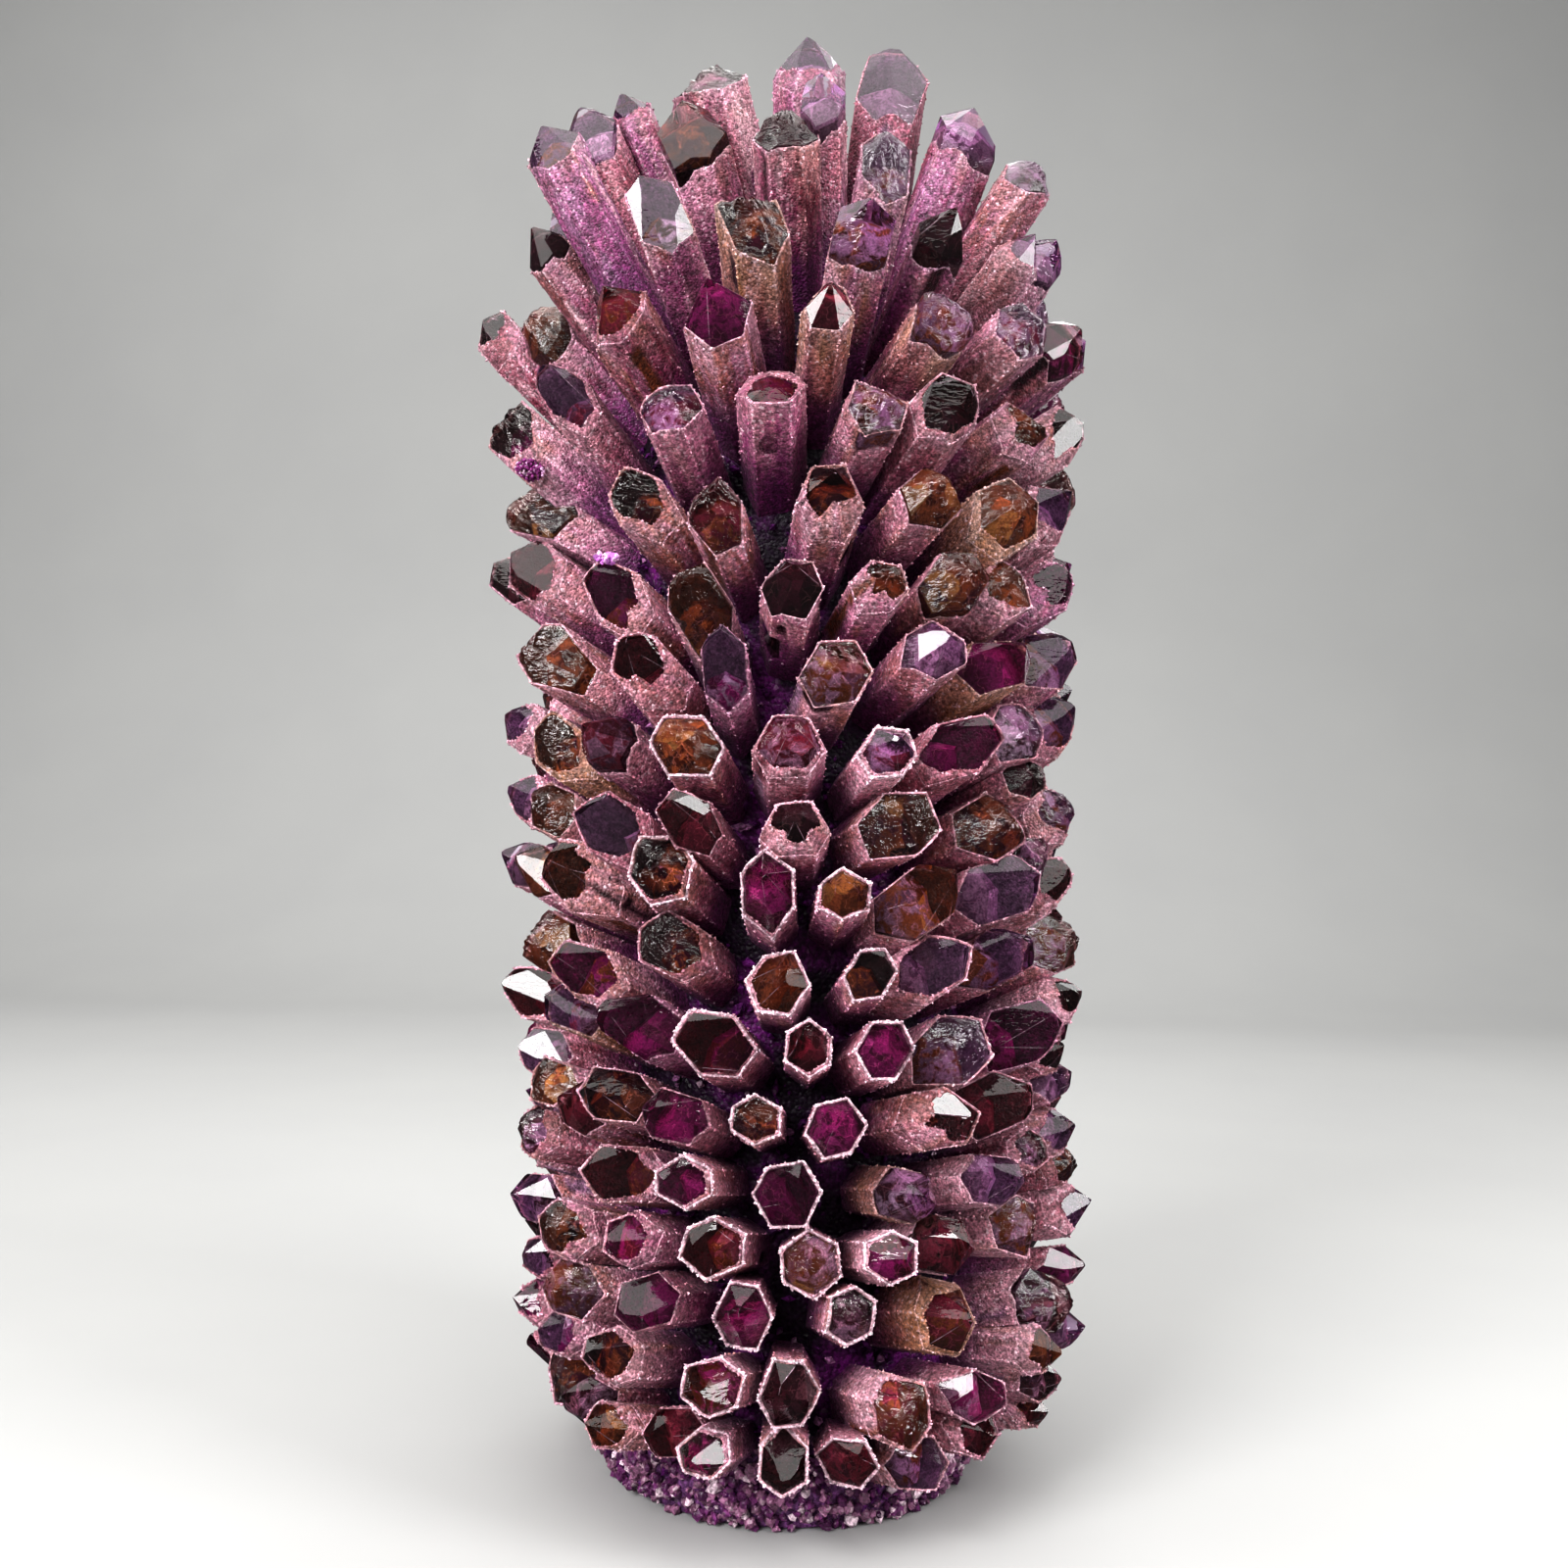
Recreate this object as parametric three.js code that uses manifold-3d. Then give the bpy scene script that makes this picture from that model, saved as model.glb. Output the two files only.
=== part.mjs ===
// Phantom quartz cluster: a free-standing column of intergrown hexagonal quartz points.
// Millimetres, +Z up. The origin is the centre of the flat foot that it rests on, and the
// column's axis is the Z axis. Everything is grown together, so the result is one solid.
import * as THREE from "three";
import { mergeVertices } from "three/addons/utils/BufferGeometryUtils.js";
import Module from "manifold-3d";

// ---- driving dimensions (mm) ----
const OVERALL_HEIGHT = 450; // foot to the highest tip; every row of CRYSTALS is laid out to it
const FOOT_RADIUS = 54; // flat ring that the column rests on
const FOOT_BULGE = 58; // widest part of the crusted foot, above the flat
const CORE_RADIUS = 55; // crusted column that the points grow from
const DOME_START = 300; // height where the column starts to round over
const CORE_TOP = 368; // top of the column, under the crown of points
const CORE_SIDES = 14; // facets around the column
const ROOT_DEPTH = 8; // how far each root runs on into the column
const ROOT_TAPER = 0.66; // width of a point at its root, against its width at the shoulder
const CHISEL = 0.7; // how far a lopsided termination becomes one sloping face
const FLATNESS = 0.02; // surfaces flatter than this count as one face

// Outline of the crusted column: [radius, height], from the axis round to the axis.
const CORE_PROFILE = [
  [0, 0],
  [FOOT_RADIUS, 0],
  [FOOT_BULGE, 10],
  [CORE_RADIUS + 1, 30],
  [CORE_RADIUS, DOME_START + 6],
  [CORE_RADIUS - 8, DOME_START + 42],
  [CORE_RADIUS - 30, DOME_START + 64],
  [0, CORE_TOP],
];

// One row for each quartz point:
// tip x, y, z | azimuth and rise of its long axis (degrees) | width across corners |
// length from the column's face to the tip | turn of the hexagon (degrees) |
// height-to-width ratio of the hexagon | height of the termination over the width |
// how far off centre the apex is, over the radius | which way it is off centre (degrees)
const CRYSTALS = [
  [-34.4,-28.1,431.8,-138.9,69.8,25.2,71.5,37,0.86,0.45,0.21,132],
  [-37.9,-44.3,410.8,-127.1,62.9,21,59.5,23,0.96,0.54,0.43,129],
  [-57.2,-34,416.9,-145.3,61.5,15.4,70,11,0.93,0.61,0.26,145],
  [-69,-36.4,411.2,-150.6,60.3,17.9,74,0,0.9,0.59,0.65,148],
  [-78.9,-44.2,402.2,-152.3,56.3,17,77,5,1.12,0.54,0.37,152],
  [-78.1,-25.2,385.9,-158.7,52.5,19.2,57.5,20,1.03,0.62,0.35,173],
  [-83.3,-32.3,376.9,-159.3,50.7,14.9,62.5,4,1.09,0.69,0.22,141],
  [-47.3,-63.9,380.6,-120.2,51.2,17.8,51.5,10,1.09,0.63,0.64,135],
  [-18.1,-79.5,376,-95.7,47.8,20.3,50.5,3,0.95,0.6,0.66,114],
  [-8.1,-63.1,403.4,-95.9,56.5,20.1,56.5,6,1.01,0.54,0.05,114],
  [-0.8,-4.7,449.7,-98.7,80.4,24.5,84.5,17,1.02,0.6,0.31,98],
  [3.1,-44.8,419,-95.5,61.2,14.9,61.5,18,1.08,0.56,0.5,94],
  [25.8,-24.2,437,-58.4,76.6,22.6,74.5,48,0.88,0.66,0.63,60],
  [22,-67.1,393.9,-74.9,53.7,16.7,54.5,22,1.03,0.67,0.5,91],
  [16.6,-83.2,367.8,-78,44.3,18,50.5,14,0.98,0.47,0.29,72],
  [49.6,-33.8,414.2,-40.4,64.9,20.1,64.5,55,1.09,0.42,0.26,47],
  [71,-34.3,400,-24.3,53.5,17.3,64.5,36,0.99,0.59,0.28,10],
  [40.3,-74.4,369.1,-62.5,45,16.4,50.5,13,0.97,0.57,0.1,56],
  [66,-51.8,370.2,-37.9,45,17.3,50,35,0.94,0.55,0.07,25],
  [75.4,-27.8,377.2,-23.6,51.3,15.5,52,22,0.88,0.57,0.37,34],
  [-57.3,-72,346.9,-125.7,39.3,21.7,48.5,0,1.12,0.52,0.14,124],
  [-26.5,-87.1,344.8,-102.7,38.6,22.1,48.5,28,1.11,0.56,0.12,103],
  [-90.3,-17.1,357.7,-169.5,40,20.6,53.5,19,0.93,0.65,0.25,158],
  [-101.9,-9.4,355.6,-173.6,42.7,15.9,66,49,1.04,0.66,0.64,159],
  [-75.7,-56.1,328.9,-135.8,41.3,15.8,49.5,10,1.03,0.78,0.61,151],
  [-38.9,-85.3,317,-106.7,34.1,17.9,45.5,2,1.02,0.5,0.14,135],
  [-96.7,-20,326.5,-167.1,38.1,20.7,56,49,0.97,0.64,0.67,150],
  [-9.5,-91.6,314.8,-91.9,31.7,20,43.5,5,1.09,0.28,0.5,271],
  [-94.2,-16.7,299.7,-170.1,28,22.2,45.5,14,0.87,0.67,0.49,188],
  [-90.5,-19,281,-168.9,32.2,19.6,44.5,42,1.13,0.6,0.68,169],
  [-98.1,-7.7,278.9,-172.8,34.5,16.1,53,53,0.93,0.62,0.72,177],
  [-57.6,-72.3,269.2,-127.8,27,18.4,42,50,1.1,0.61,0.66,133],
  [-50.7,-79.3,293.7,-119,29.9,18,43.5,59,0.91,0.66,0.54,148],
  [-27.6,-88.7,291.4,-104.2,28.8,16.8,42.5,27,1.1,0.64,0.63,121],
  [-32.4,-87.1,269.2,-102.8,28.3,19,43,18,1.08,0.75,0.68,120],
  [-86.4,-36.1,255.2,-155.8,29.5,21.3,43,19,0.95,0.73,0.5,165],
  [-47.3,-81.5,249.3,-112.1,28.5,19.2,43,20,0.89,0.64,0.7,135],
  [-21.8,-90.3,250.5,-95.7,25.1,15.2,41.5,35,1.25,0.57,0.76,104],
  [-91.3,-17.1,231,-169.3,23.4,16.1,41,50,1.08,0.51,0.41,166],
  [6.3,-90.4,342.7,-84,37,13.7,47.5,54,0.97,0.55,0.28,85],
  [41.8,-80.4,344.7,-56.5,33.2,18,47,21,0.96,0.45,0.34,66],
  [66.6,-62.1,345.9,-39.9,33.6,18.2,46.5,10,0.89,0.44,0.42,40],
  [81.3,-39.1,347.3,-24,36.5,17.1,47.5,1,1.1,0.52,0.44,27],
  [84.8,-25.9,347.7,-18.3,38.9,14.9,47,51,0.94,0.59,0.27,19],
  [22.1,-89.1,317.3,-70.8,29.3,18.9,42.5,5,1.09,0.44,0.15,55],
  [43.6,-81.7,319.2,-61.6,31.5,19.8,43.5,33,0.98,0.43,0.43,43],
  [68.4,-61.2,319,-38.9,27.4,19.5,42,44,0.89,0.53,0.38,45],
  [81.8,-42.1,319.4,-26.4,30.3,19.7,43,15,1.01,0.6,0.62,18],
  [8.1,-92,293,-81.5,27.4,20,42.5,-0,1.1,0.56,0.33,90],
  [38.9,-84.4,293.4,-62.3,24.7,19.1,41.5,46,0.92,0.49,0.12,63],
  [65.1,-67.9,294.4,-47,27.9,22.4,42.5,17,0.99,0.64,0.33,43],
  [78.4,-49,297.1,-33.8,32.4,20,44.5,51,0.95,0.6,0.35,31],
  [-1.8,-92,267.8,-88,25.5,18.6,41,-7,1.09,0.53,0.13,78],
  [23.9,-89.6,268.5,-73.3,24.2,14.9,41,48,0.89,0.53,0.39,59],
  [47.6,-80.7,272.8,-61.2,26.4,18.6,41.5,55,0.89,0.57,0.3,42],
  [63.5,-66.9,271.6,-49,29.7,18.6,43,24,1,0.56,0.24,24],
  [77.8,-50,273.5,-35.7,32.7,18.3,44.5,3,0.9,0.59,0.71,15],
  [40.5,-83.7,251.8,-64.7,23.7,19.1,40.5,27,0.95,0.43,0.18,41],
  [62.6,-68.5,250.4,-49.5,26.8,19.2,42,59,0.88,0.53,0.32,21],
  [78.3,-49.1,253.9,-36,32.5,19.3,44.5,37,1.01,0.48,0.49,15],
  [12.8,-91.3,246.6,-79.2,22.4,18.8,40,2,0.91,0.59,0.37,59],
  [-60,-70.1,226.4,-129.2,24.8,18.5,41,15,0.98,0.58,0.06,154],
  [-33.9,-87.8,225.7,-105.1,23.9,20.6,40.5,7,0.92,0.56,0.21,136],
  [-88.4,-27.2,208.6,-162.9,21.8,15.8,40,25,1.05,0.56,0.39,167],
  [-78.4,-48.7,207.3,-145.4,29.1,16.1,42.5,55,1.13,0.63,0.37,169],
  [-59.5,-72.8,203.7,-125.1,25.6,19,41.5,49,1.07,0.6,0.68,158],
  [-35,-86.8,205.7,-108.6,21.9,15.9,40,60,1.12,0.65,0.61,149],
  [-42.4,-85.3,194.1,-109.3,22.7,19.5,40,13,1.13,0.51,0.51,143],
  [-91.6,-17.4,189,-169.4,23.8,14.9,41.5,14,1.1,0.63,0.26,173],
  [-82.8,-41.3,188.6,-152,28,15.3,42,31,1.05,0.56,0.49,169],
  [-71.7,-58.1,189.4,-140.2,22.7,21.6,40,19,1.12,0.62,0.61,165],
  [-8.7,-91.5,187.4,-92.5,19.2,19.1,39,37,1.3,0.53,0.27,113],
  [-83.5,-39.7,167.5,-154.6,19.4,18.8,39.5,47,1.13,0.61,0.32,175],
  [-1.5,-92.4,225.9,-89.1,22,18.9,40.5,-2,0.92,0.48,0.26,75],
  [26.7,-89.3,223.4,-73.6,21.1,15.2,40,55,0.88,0.55,0.22,62],
  [52.5,-77.4,228,-58.1,23.7,19.4,40.5,54,0.9,0.57,0.69,23],
  [68.8,-61.6,232.7,-43.8,27.1,18.8,42,57,1.12,0.59,0.34,28],
  [80.3,-45.9,235.8,-33.1,30.9,19.5,43.5,54,1.1,0.55,0.32,32],
  [70.5,-59.7,216.9,-41.4,24.7,13,41,27,1.12,0.65,0.28,3],
  [84.6,-37.2,209.3,-24.8,27.7,19.8,42,42,0.96,0.67,0.24,17],
  [63.9,-66.7,204,-46.5,21.2,21.1,40,24,1.09,0.66,0.28,357],
  [74.4,-54.8,194.3,-36.4,19.6,14.9,39.5,51,0.87,0.54,0.4,25],
  [36.7,-85.9,205.8,-66.6,15.9,20.2,38.5,51,0.99,0.66,0.5,25],
  [-0.4,-92,202.8,-89,20.2,18.3,39.5,5,0.9,0.53,0.14,88],
  [13.6,-91.1,185.2,-85.6,19.9,14.3,39.5,29,0.88,0.5,0.2,76],
  [42.5,-83.4,187.2,-68.2,22.8,20.9,40,34,0.87,0.56,0.72,27],
  [67.4,-65.8,187.1,-46,21.4,19.2,40,6,1.08,0.6,0.65,7],
  [79.9,-46.4,187.7,-31.6,27,18.4,41.5,41,0.91,0.58,0.66,1],
  [86.9,-31.4,169.6,-20,25.3,21.4,41,5,0.9,0.56,0.29,1],
  [-66.6,-66,162.3,-133.7,21.2,17.7,40,1,0.97,0.6,0.68,162],
  [-42.1,-83.5,171.8,-111.9,22.4,18.5,40,45,1.01,0.76,0.64,169],
  [-89.1,-24.6,149.8,-164.7,18.3,18.3,39,28,0.94,0.68,0.58,183],
  [-70,-60.1,150.7,-137.6,24.8,16.3,40.5,58,1.11,0.54,0.49,187],
  [-52.3,-76.5,149.4,-122.4,21,18.2,39.5,28,1.01,0.6,0.72,166],
  [-27.3,-88.9,147.8,-101.5,18.8,19.2,39,0,0.85,0.47,0.71,143],
  [-1.6,-91.8,159.4,-91.3,17.4,18.5,38.5,-6,1.1,0.42,0.36,349],
  [-56.3,-74.4,127.8,-124.6,21.2,17.6,39.5,12,0.92,0.58,0.41,179],
  [-37.1,-85.1,124.2,-110.4,19.8,16,39,53,0.88,0.5,0.49,171],
  [-10.6,-91.2,124.8,-93.7,16.2,14.3,38.5,31,0.87,0.58,0.18,136],
  [-80.5,-41.3,133.3,-152.5,17.4,15.1,36.5,14,1.07,0.53,0.46,181],
  [-78.4,-48.9,125.8,-151,19.1,16,39,4,0.86,0.55,0.41,192],
  [-79.1,-37.7,119.8,-153,18.1,13.3,34,39,1.01,0.67,0.24,182],
  [-65.4,-65.3,123.3,-133.3,23.3,14.9,40,47,1.11,0.68,0.25,162],
  [-83.4,-40,109.5,-154.5,14.4,17,38,44,1,0.6,0.28,193],
  [24.3,-89.7,165.3,-80.4,19.9,13.3,39.5,-1,1.03,0.48,0.65,40],
  [45.6,-82.2,167.7,-67.7,23.3,19.8,40.5,26,0.92,0.56,0.79,16],
  [76.3,-52.1,145.5,-35.4,24.9,19.8,41,52,1.04,0.57,0.68,3],
  [85.8,-34.5,151.9,-22.1,25.5,15.5,41,35,1.01,0.5,0.46,357],
  [80.5,-39.8,136.1,-26.6,23.9,13,37.5,58,0.87,0.58,0.28,5],
  [83.2,-33.5,127.6,-22.1,23.9,13.5,37.5,10,1.08,0.5,0.42,356],
  [84.5,-37.5,112.5,-23.5,17.9,17.7,39,56,1.03,0.62,0.31,350],
  [1.9,-91.8,144,-89.6,15.7,14.3,38.5,32,1.07,0.48,0.36,151],
  [28,-88.2,144.5,-75.3,18.1,15.8,38.5,-2,1.1,0.48,0.38,42],
  [53.7,-75,144,-55.7,20.9,20.7,39.5,43,1.07,0.69,0.5,17],
  [67.5,-63.5,125.7,-43.5,18.2,18.7,39,17,1.03,0.65,0.63,357],
  [49.1,-80.7,122.9,-61.2,15.2,18,38,8,1.05,0.59,0.7,355],
  [12.9,-91,123.5,-87.4,15.6,16.8,38.5,7,0.99,0.47,0.24,57],
  [74.3,-54.8,110.4,-36.3,18.2,13,38.5,23,0.94,0.6,0.36,2],
  [-55.8,-75.4,105.5,-125.3,16,17.6,38.5,11,0.98,0.64,0.7,187],
  [-32.8,-87.6,105.5,-108.9,13.1,14.6,38,37,0.93,0.46,0.34,183],
  [-81.9,-42.7,90.2,-152.3,11.4,14.9,37.5,13,1.07,0.53,0.34,186],
  [-72.5,-57.4,86.1,-142.1,14.7,17.7,38,54,0.98,0.62,0.33,177],
  [-49.3,-78.8,87.9,-121.6,15.4,14.9,38,29,1.07,0.56,0.46,186],
  [-25,-89.4,88.7,-105,14.4,16.3,38,26,0.97,0.4,0.41,188],
  [-77.1,-48.3,74,-146.7,11.8,14.9,36,39,0.87,0.55,0.48,192],
  [-71.3,-58.8,69.7,-141.2,14.7,18.9,38,5,0.88,0.6,0.28,173],
  [-44.8,-81.9,71.1,-118,13.4,15.4,37.5,25,1.14,0.49,0.5,198],
  [-12.9,-90.8,73.9,-91.7,11.1,18.5,37.5,0,1.22,0.48,0.35,107],
  [-80.5,-45.2,60.5,-152,15.9,15.5,38,43,1.01,0.58,0.32,190],
  [-70.4,-59.2,56.4,-141,16,15,38,58,0.9,0.57,0.4,190],
  [-72,-51.3,41.7,-143,16.4,19.6,34,9,1.09,0.59,0.39,202],
  [-54.8,-74.4,55,-126.5,16.8,16.3,37.5,33,1.02,0.56,0.42,191],
  [-63.1,-61.5,38.8,-137.9,16.6,14.9,33.5,40,0.91,0.59,0.26,187],
  [-55,-70.3,35.1,-131.5,17.3,14.9,34.5,8,0.94,0.64,0.28,186],
  [-36,-82.2,36.9,-114.1,16.6,14.9,35,11,1,0.51,0.48,196],
  [-23.3,-89.4,51,-105.3,15.3,17.5,37,24,0.91,0.51,0.27,216],
  [-24.7,-87.1,32.2,-105.3,13.4,14.3,33.5,50,0.95,0.53,0.29,213],
  [-1.5,-91.4,52.3,-89.7,9.2,19.1,36.5,3,1.22,0.45,0.31,140],
  [-0.3,-90.6,29.6,-90,7.4,15.7,33.5,29,1.08,0.47,0.36,271],
  [19,-86.3,34,-87.5,10.6,16.4,33,-1,0.9,0.49,0.4,56],
  [37.1,-85.6,44,-68.4,12.6,20.2,36.5,37,1.06,0.59,0.41,340],
  [42.6,-75.4,27.3,-58.9,14.1,15.6,30.5,57,1,0.57,0.35,344],
  [58.4,-66.4,32.4,-47.8,9.8,14.9,33,36,1.09,0.56,0.37,329],
  [60.4,-68.2,43.6,-48.5,8.2,15.3,36,28,1.03,0.58,0.43,358],
  [78.3,-35.5,28.4,-24,9,14.9,30,45,0.9,0.56,0.27,324],
  [81.1,-38.1,38.4,-24.1,7.6,13,34,14,0.92,0.54,0.4,346],
  [80.7,-43,47.8,-28.2,7.2,14.9,36,11,1.07,0.64,0.24,342],
  [91.5,-19.8,47.9,-12.1,9.1,14.9,38.5,27,0.87,0.6,0.29,330],
  [86.7,-32.1,60,-19.7,11.8,20,37.5,24,1.08,0.57,0.41,341],
  [91.6,-17.4,66,-11,9.3,14.9,38,50,0.87,0.62,0.26,336],
  [50.3,-77.4,68.4,-56.5,14.9,23.1,38,43,1.1,0.56,0.06,356],
  [18,-90.2,74.7,-79.7,15.8,15.7,38,24,1.01,0.51,0.32,98],
  [4.7,-92,86.2,-89.1,11.7,19.1,37.5,35,1.05,0.55,0.16,148],
  [31.1,-88.2,87,-72.5,14.2,14.6,37.5,25,0.95,0.44,0.36,352],
  [48.5,-78.4,88.2,-58.2,12.3,18,37.5,44,1.05,0.57,0.29,0],
  [75.9,-52.5,86.6,-35.1,9.9,19.8,37.5,25,0.86,0.59,0.22,348],
  [93.2,-18,86.2,-10.8,12.4,20.6,40.5,16,1.2,0.58,0.3,341],
  [63.9,-66.9,104.7,-46.3,15.4,16,38,43,1.03,0.48,0.47,1],
  [36.7,-85.3,102.4,-68.2,11.3,15.9,37.5,42,1,0.62,0.27,358],
  [2.4,-91.5,106.3,-90.1,13.1,19.1,37.5,6,1.04,0.45,0.42,37],
  [89,-24.9,100,-15.1,15.3,14.9,38.5,42,0.95,0.66,0.23,356],
  [-78.2,-49.2,227,-146.2,27.7,19.4,42,35,0.89,0.65,0.54,154],
  [66.3,-64.2,168.1,-45.6,23.5,17.7,40.5,27,0.92,0.61,0.67,8],
  [-70.6,34.4,19.7,153.1,8,19.1,21.5,15,1.08,0.6,0.38,65],
  [74,-7.4,18.9,-11.3,7.9,18.5,17.5,51,1.14,0.63,0.64,139],
  [57,55.2,18.8,45.5,4.4,17.3,22.5,45,0.9,0.57,0.24,88],
  [-71.1,-17.9,21.5,-169,4.3,23.3,16.5,46,0.88,0.59,0.06,4],
  [74.6,23.4,18.9,17.8,3.3,17.7,21,54,1.12,0.51,0.45,55],
  [-50.2,57.2,18.2,131.3,9.6,16.2,19,51,0.88,0.53,0.47,105],
  [-18.2,77.9,19.1,99.2,9.8,17.9,23,46,1.08,0.65,0.65,130],
  [26.9,73.8,19.9,68,5.5,19.5,21.5,48,0.91,0.58,0.35,165],
  [-76.7,9.8,22.3,166.4,6.7,21,21,54,0.89,0.46,0.22,60],
  [52.5,67.2,33.6,51.1,8.4,18.5,29.5,14,0.88,0.51,0.05,13],
  [7.1,86.3,39,84.6,7,21.5,31,15,0.9,0.48,0.47,55],
  [-46.9,72.6,39.6,120.5,9.3,21.7,31,1,1.09,0.59,0.62,158],
  [76.1,43.7,38.1,29.2,6.8,19.7,32,1,1.11,0.6,0.41,161],
  [-67.5,56.4,39.2,143.5,9.1,21.6,32.5,29,1.03,0.63,0.66,74],
  [-84.1,29.7,39.6,160.1,3.8,20.4,33.5,41,1.01,0.52,0.08,61],
  [85.1,14.4,42.2,5.1,9.5,16.2,31,31,1.06,0.6,0.2,86],
  [-80.3,-21.6,39.1,-160.2,4.8,17.8,27.5,39,1.09,0.66,0.6,77],
  [-22,85.5,43.9,104.6,0.7,21.2,32.5,15,1.03,0.59,0.43,23],
  [34.3,83.2,50.8,66.3,9.9,19.9,35,5,1.07,0.48,0.08,117],
  [-84.4,3.7,53.9,176.9,10,20.4,29,45,0.95,0.66,0.64,123],
  [61.3,64.6,62.5,45.4,10.6,17.4,34,6,1,0.54,0.44,137],
  [80.5,38.7,65.3,24.4,9.8,23.1,34,13,1.12,0.63,0.65,43],
  [-45.5,79.4,65.8,115.7,6,18.1,36.5,6,1.05,0.56,0.71,356],
  [-81.9,32.2,67,156.7,9.1,16.2,33,57,0.87,0.62,0.69,53],
  [-70.2,55.2,67.4,148.6,12.3,18.1,35,31,0.99,0.59,0.2,67],
  [-16.1,88.7,67.6,102.8,10.7,21.1,35,19,1.02,0.41,0.29,130],
  [16.1,87.4,73,76.7,11.3,22.3,34,20,1.13,0.52,0.35,127],
  [84.9,9.6,72.3,11,10.5,18.5,30.5,58,0.96,0.54,0.11,127],
  [-82.6,-14.8,74.9,-169.3,15.1,21.3,29.5,55,1.02,0.67,0.23,49],
  [46.3,76.5,83,57.8,11.9,20.5,34.5,6,1.09,0.66,0.22,62],
  [-84.4,12.2,89.8,172.4,6.8,21.9,30,9,0.97,0.56,0.31,105],
  [72,53.5,91.1,40.1,14.3,16.4,35.5,2,1.1,0.54,0.12,119],
  [-56.4,69.1,96.4,125.5,12.5,21,34.5,49,1.03,0.54,0.16,153],
  [-32.6,83.1,93.9,115.7,7.1,17,34,16,1.03,0.59,0.66,98],
  [-77.4,43,94.2,153.3,16,18.8,34.5,39,1.04,0.53,0.14,60],
  [85.8,25.2,95.9,18.6,13.7,16.1,35,12,1.08,0.56,0.08,109],
  [2.2,90.6,99.3,93.8,16.2,20,37,43,0.96,0.5,0.2,109],
  [-84.1,-11.4,101.9,-170.5,18.6,17.5,31,56,0.95,0.56,0.36,21],
  [30.4,85.5,106.5,71.1,12.6,20.1,36,50,0.96,0.5,0.09,77],
  [59.7,68,109.7,45.3,14.6,17.8,36.5,28,0.9,0.59,0.23,100],
  [86.4,-1.3,114.1,-0.1,14.7,20.1,32,57,1.12,0.6,0.28,123],
  [80.2,42.4,120.8,26.2,12.5,18.8,36,57,1.09,0.62,0.24,167],
  [-86.6,25.1,118.1,164.3,13.3,19,35.5,53,1.05,0.42,0.29,32],
  [-72.7,54.8,118.3,146.3,9.7,20.2,36,44,0.96,0.65,0.3,146],
  [-47.3,77.3,116.2,122.7,14.1,17.2,36,22,0.99,0.47,0.11,52],
  [-16.9,87.6,124.4,101,14.5,17.6,35,8,1.09,0.62,0.7,96],
  [13.4,88,130.4,82.2,15.1,17.2,35,39,1.12,0.58,0.7,47],
  [-87.5,-2.6,132.8,-177.4,15.4,20,33.5,53,0.94,0.45,0.2,79],
  [48.3,76.1,137.9,59.9,17.5,18,36.5,23,1.12,0.44,0.27,66],
  [87.7,23.2,140.9,13.1,16.8,19,37,60,1.06,0.62,0.71,114],
  [87.4,-7.9,139.8,-5.5,13.5,16.6,33,36,0.98,0.6,0.75,164],
  [72.7,55.7,146.5,37.9,15.5,18.4,37.5,46,0.97,0.59,0.3,167],
  [-79,46.7,146,147.8,13.8,18.8,37.5,26,0.98,0.67,0.64,100],
  [-59.9,69.6,142.8,130.7,14.2,17.7,37.5,17,0.87,0.46,0.21,116],
  [-38.6,82.8,152.7,115.3,19.9,16.8,38.5,17,0.88,0.56,0.26,124],
  [-85.5,20.8,149.8,161.9,18.7,23.6,34.5,16,0.95,0.43,0.2,12],
  [-1.8,90.9,151.7,87.8,18.5,17.1,37.5,30,1.01,0.51,0.39,84],
  [26.2,85.4,157.1,69.6,20.4,21.1,36.5,9,0.91,0.42,0.24,93],
  [-85,-1,162.9,-179.7,16.1,15.8,31,7,1.13,0.54,0.29,91],
  [-68.6,59.6,171.8,144.2,18.2,20.8,37.5,14,0.99,0.59,0.69,46],
  [80.5,36.4,166.9,22,22,21.7,35.5,26,0.9,0.45,0.27,130],
  [86.3,2.8,170.8,3.4,14.6,18,32,13,1,0.61,0.7,15],
  [63.4,66.5,171.5,43.5,18.7,17.8,39,52,0.98,0.63,0.7,38],
  [-18,87.5,177.1,100.4,21.5,20.3,36.5,54,1.06,0.43,0.3,98],
  [-81.8,33.7,177.3,156.1,19.3,22.1,35,58,1.11,0.65,0.67,354],
  [-45.8,76.3,178.6,121.6,18.5,23.2,35.5,34,0.98,0.49,0.25,5],
  [12.2,90,181,82.7,19.1,22,37.5,28,0.9,0.48,0.23,3],
  [39,80.8,184.7,63.6,18.1,21,36.5,52,0.94,0.59,0.45,70],
  [-85.9,11.4,189.2,171.3,16.4,21.2,33,47,1.13,0.67,0.19,74],
  [-67.8,60.9,198.4,140,20.4,19.2,38.5,18,0.94,0.5,0.06,32],
  [87.5,23.5,196.9,12.2,17.7,22.2,37,37,0.94,0.58,0.48,24],
  [84.3,-10.5,199.4,-3,19.8,17.8,31.5,26,0.95,0.65,0.67,137],
  [76.4,50.6,201,36,21.5,19.3,39,38,1.11,0.49,0.09,36],
  [-25.4,85.4,197.5,107.3,22.4,19.1,36.5,20,0.96,0.44,0.25,40],
  [56.7,70.1,205.1,48.2,18.7,16,37,15,1.11,0.64,0.6,340],
  [3.9,89.7,206.9,84.4,20.9,18.2,37,11,1.13,0.5,0.08,114],
  [-82.9,38.5,211,153.7,19.1,19.5,38.5,34,1.07,0.62,0.75,154],
  [-47.9,76.7,216.6,120.1,21.6,21.5,38,25,0.87,0.52,0.05,187],
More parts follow.
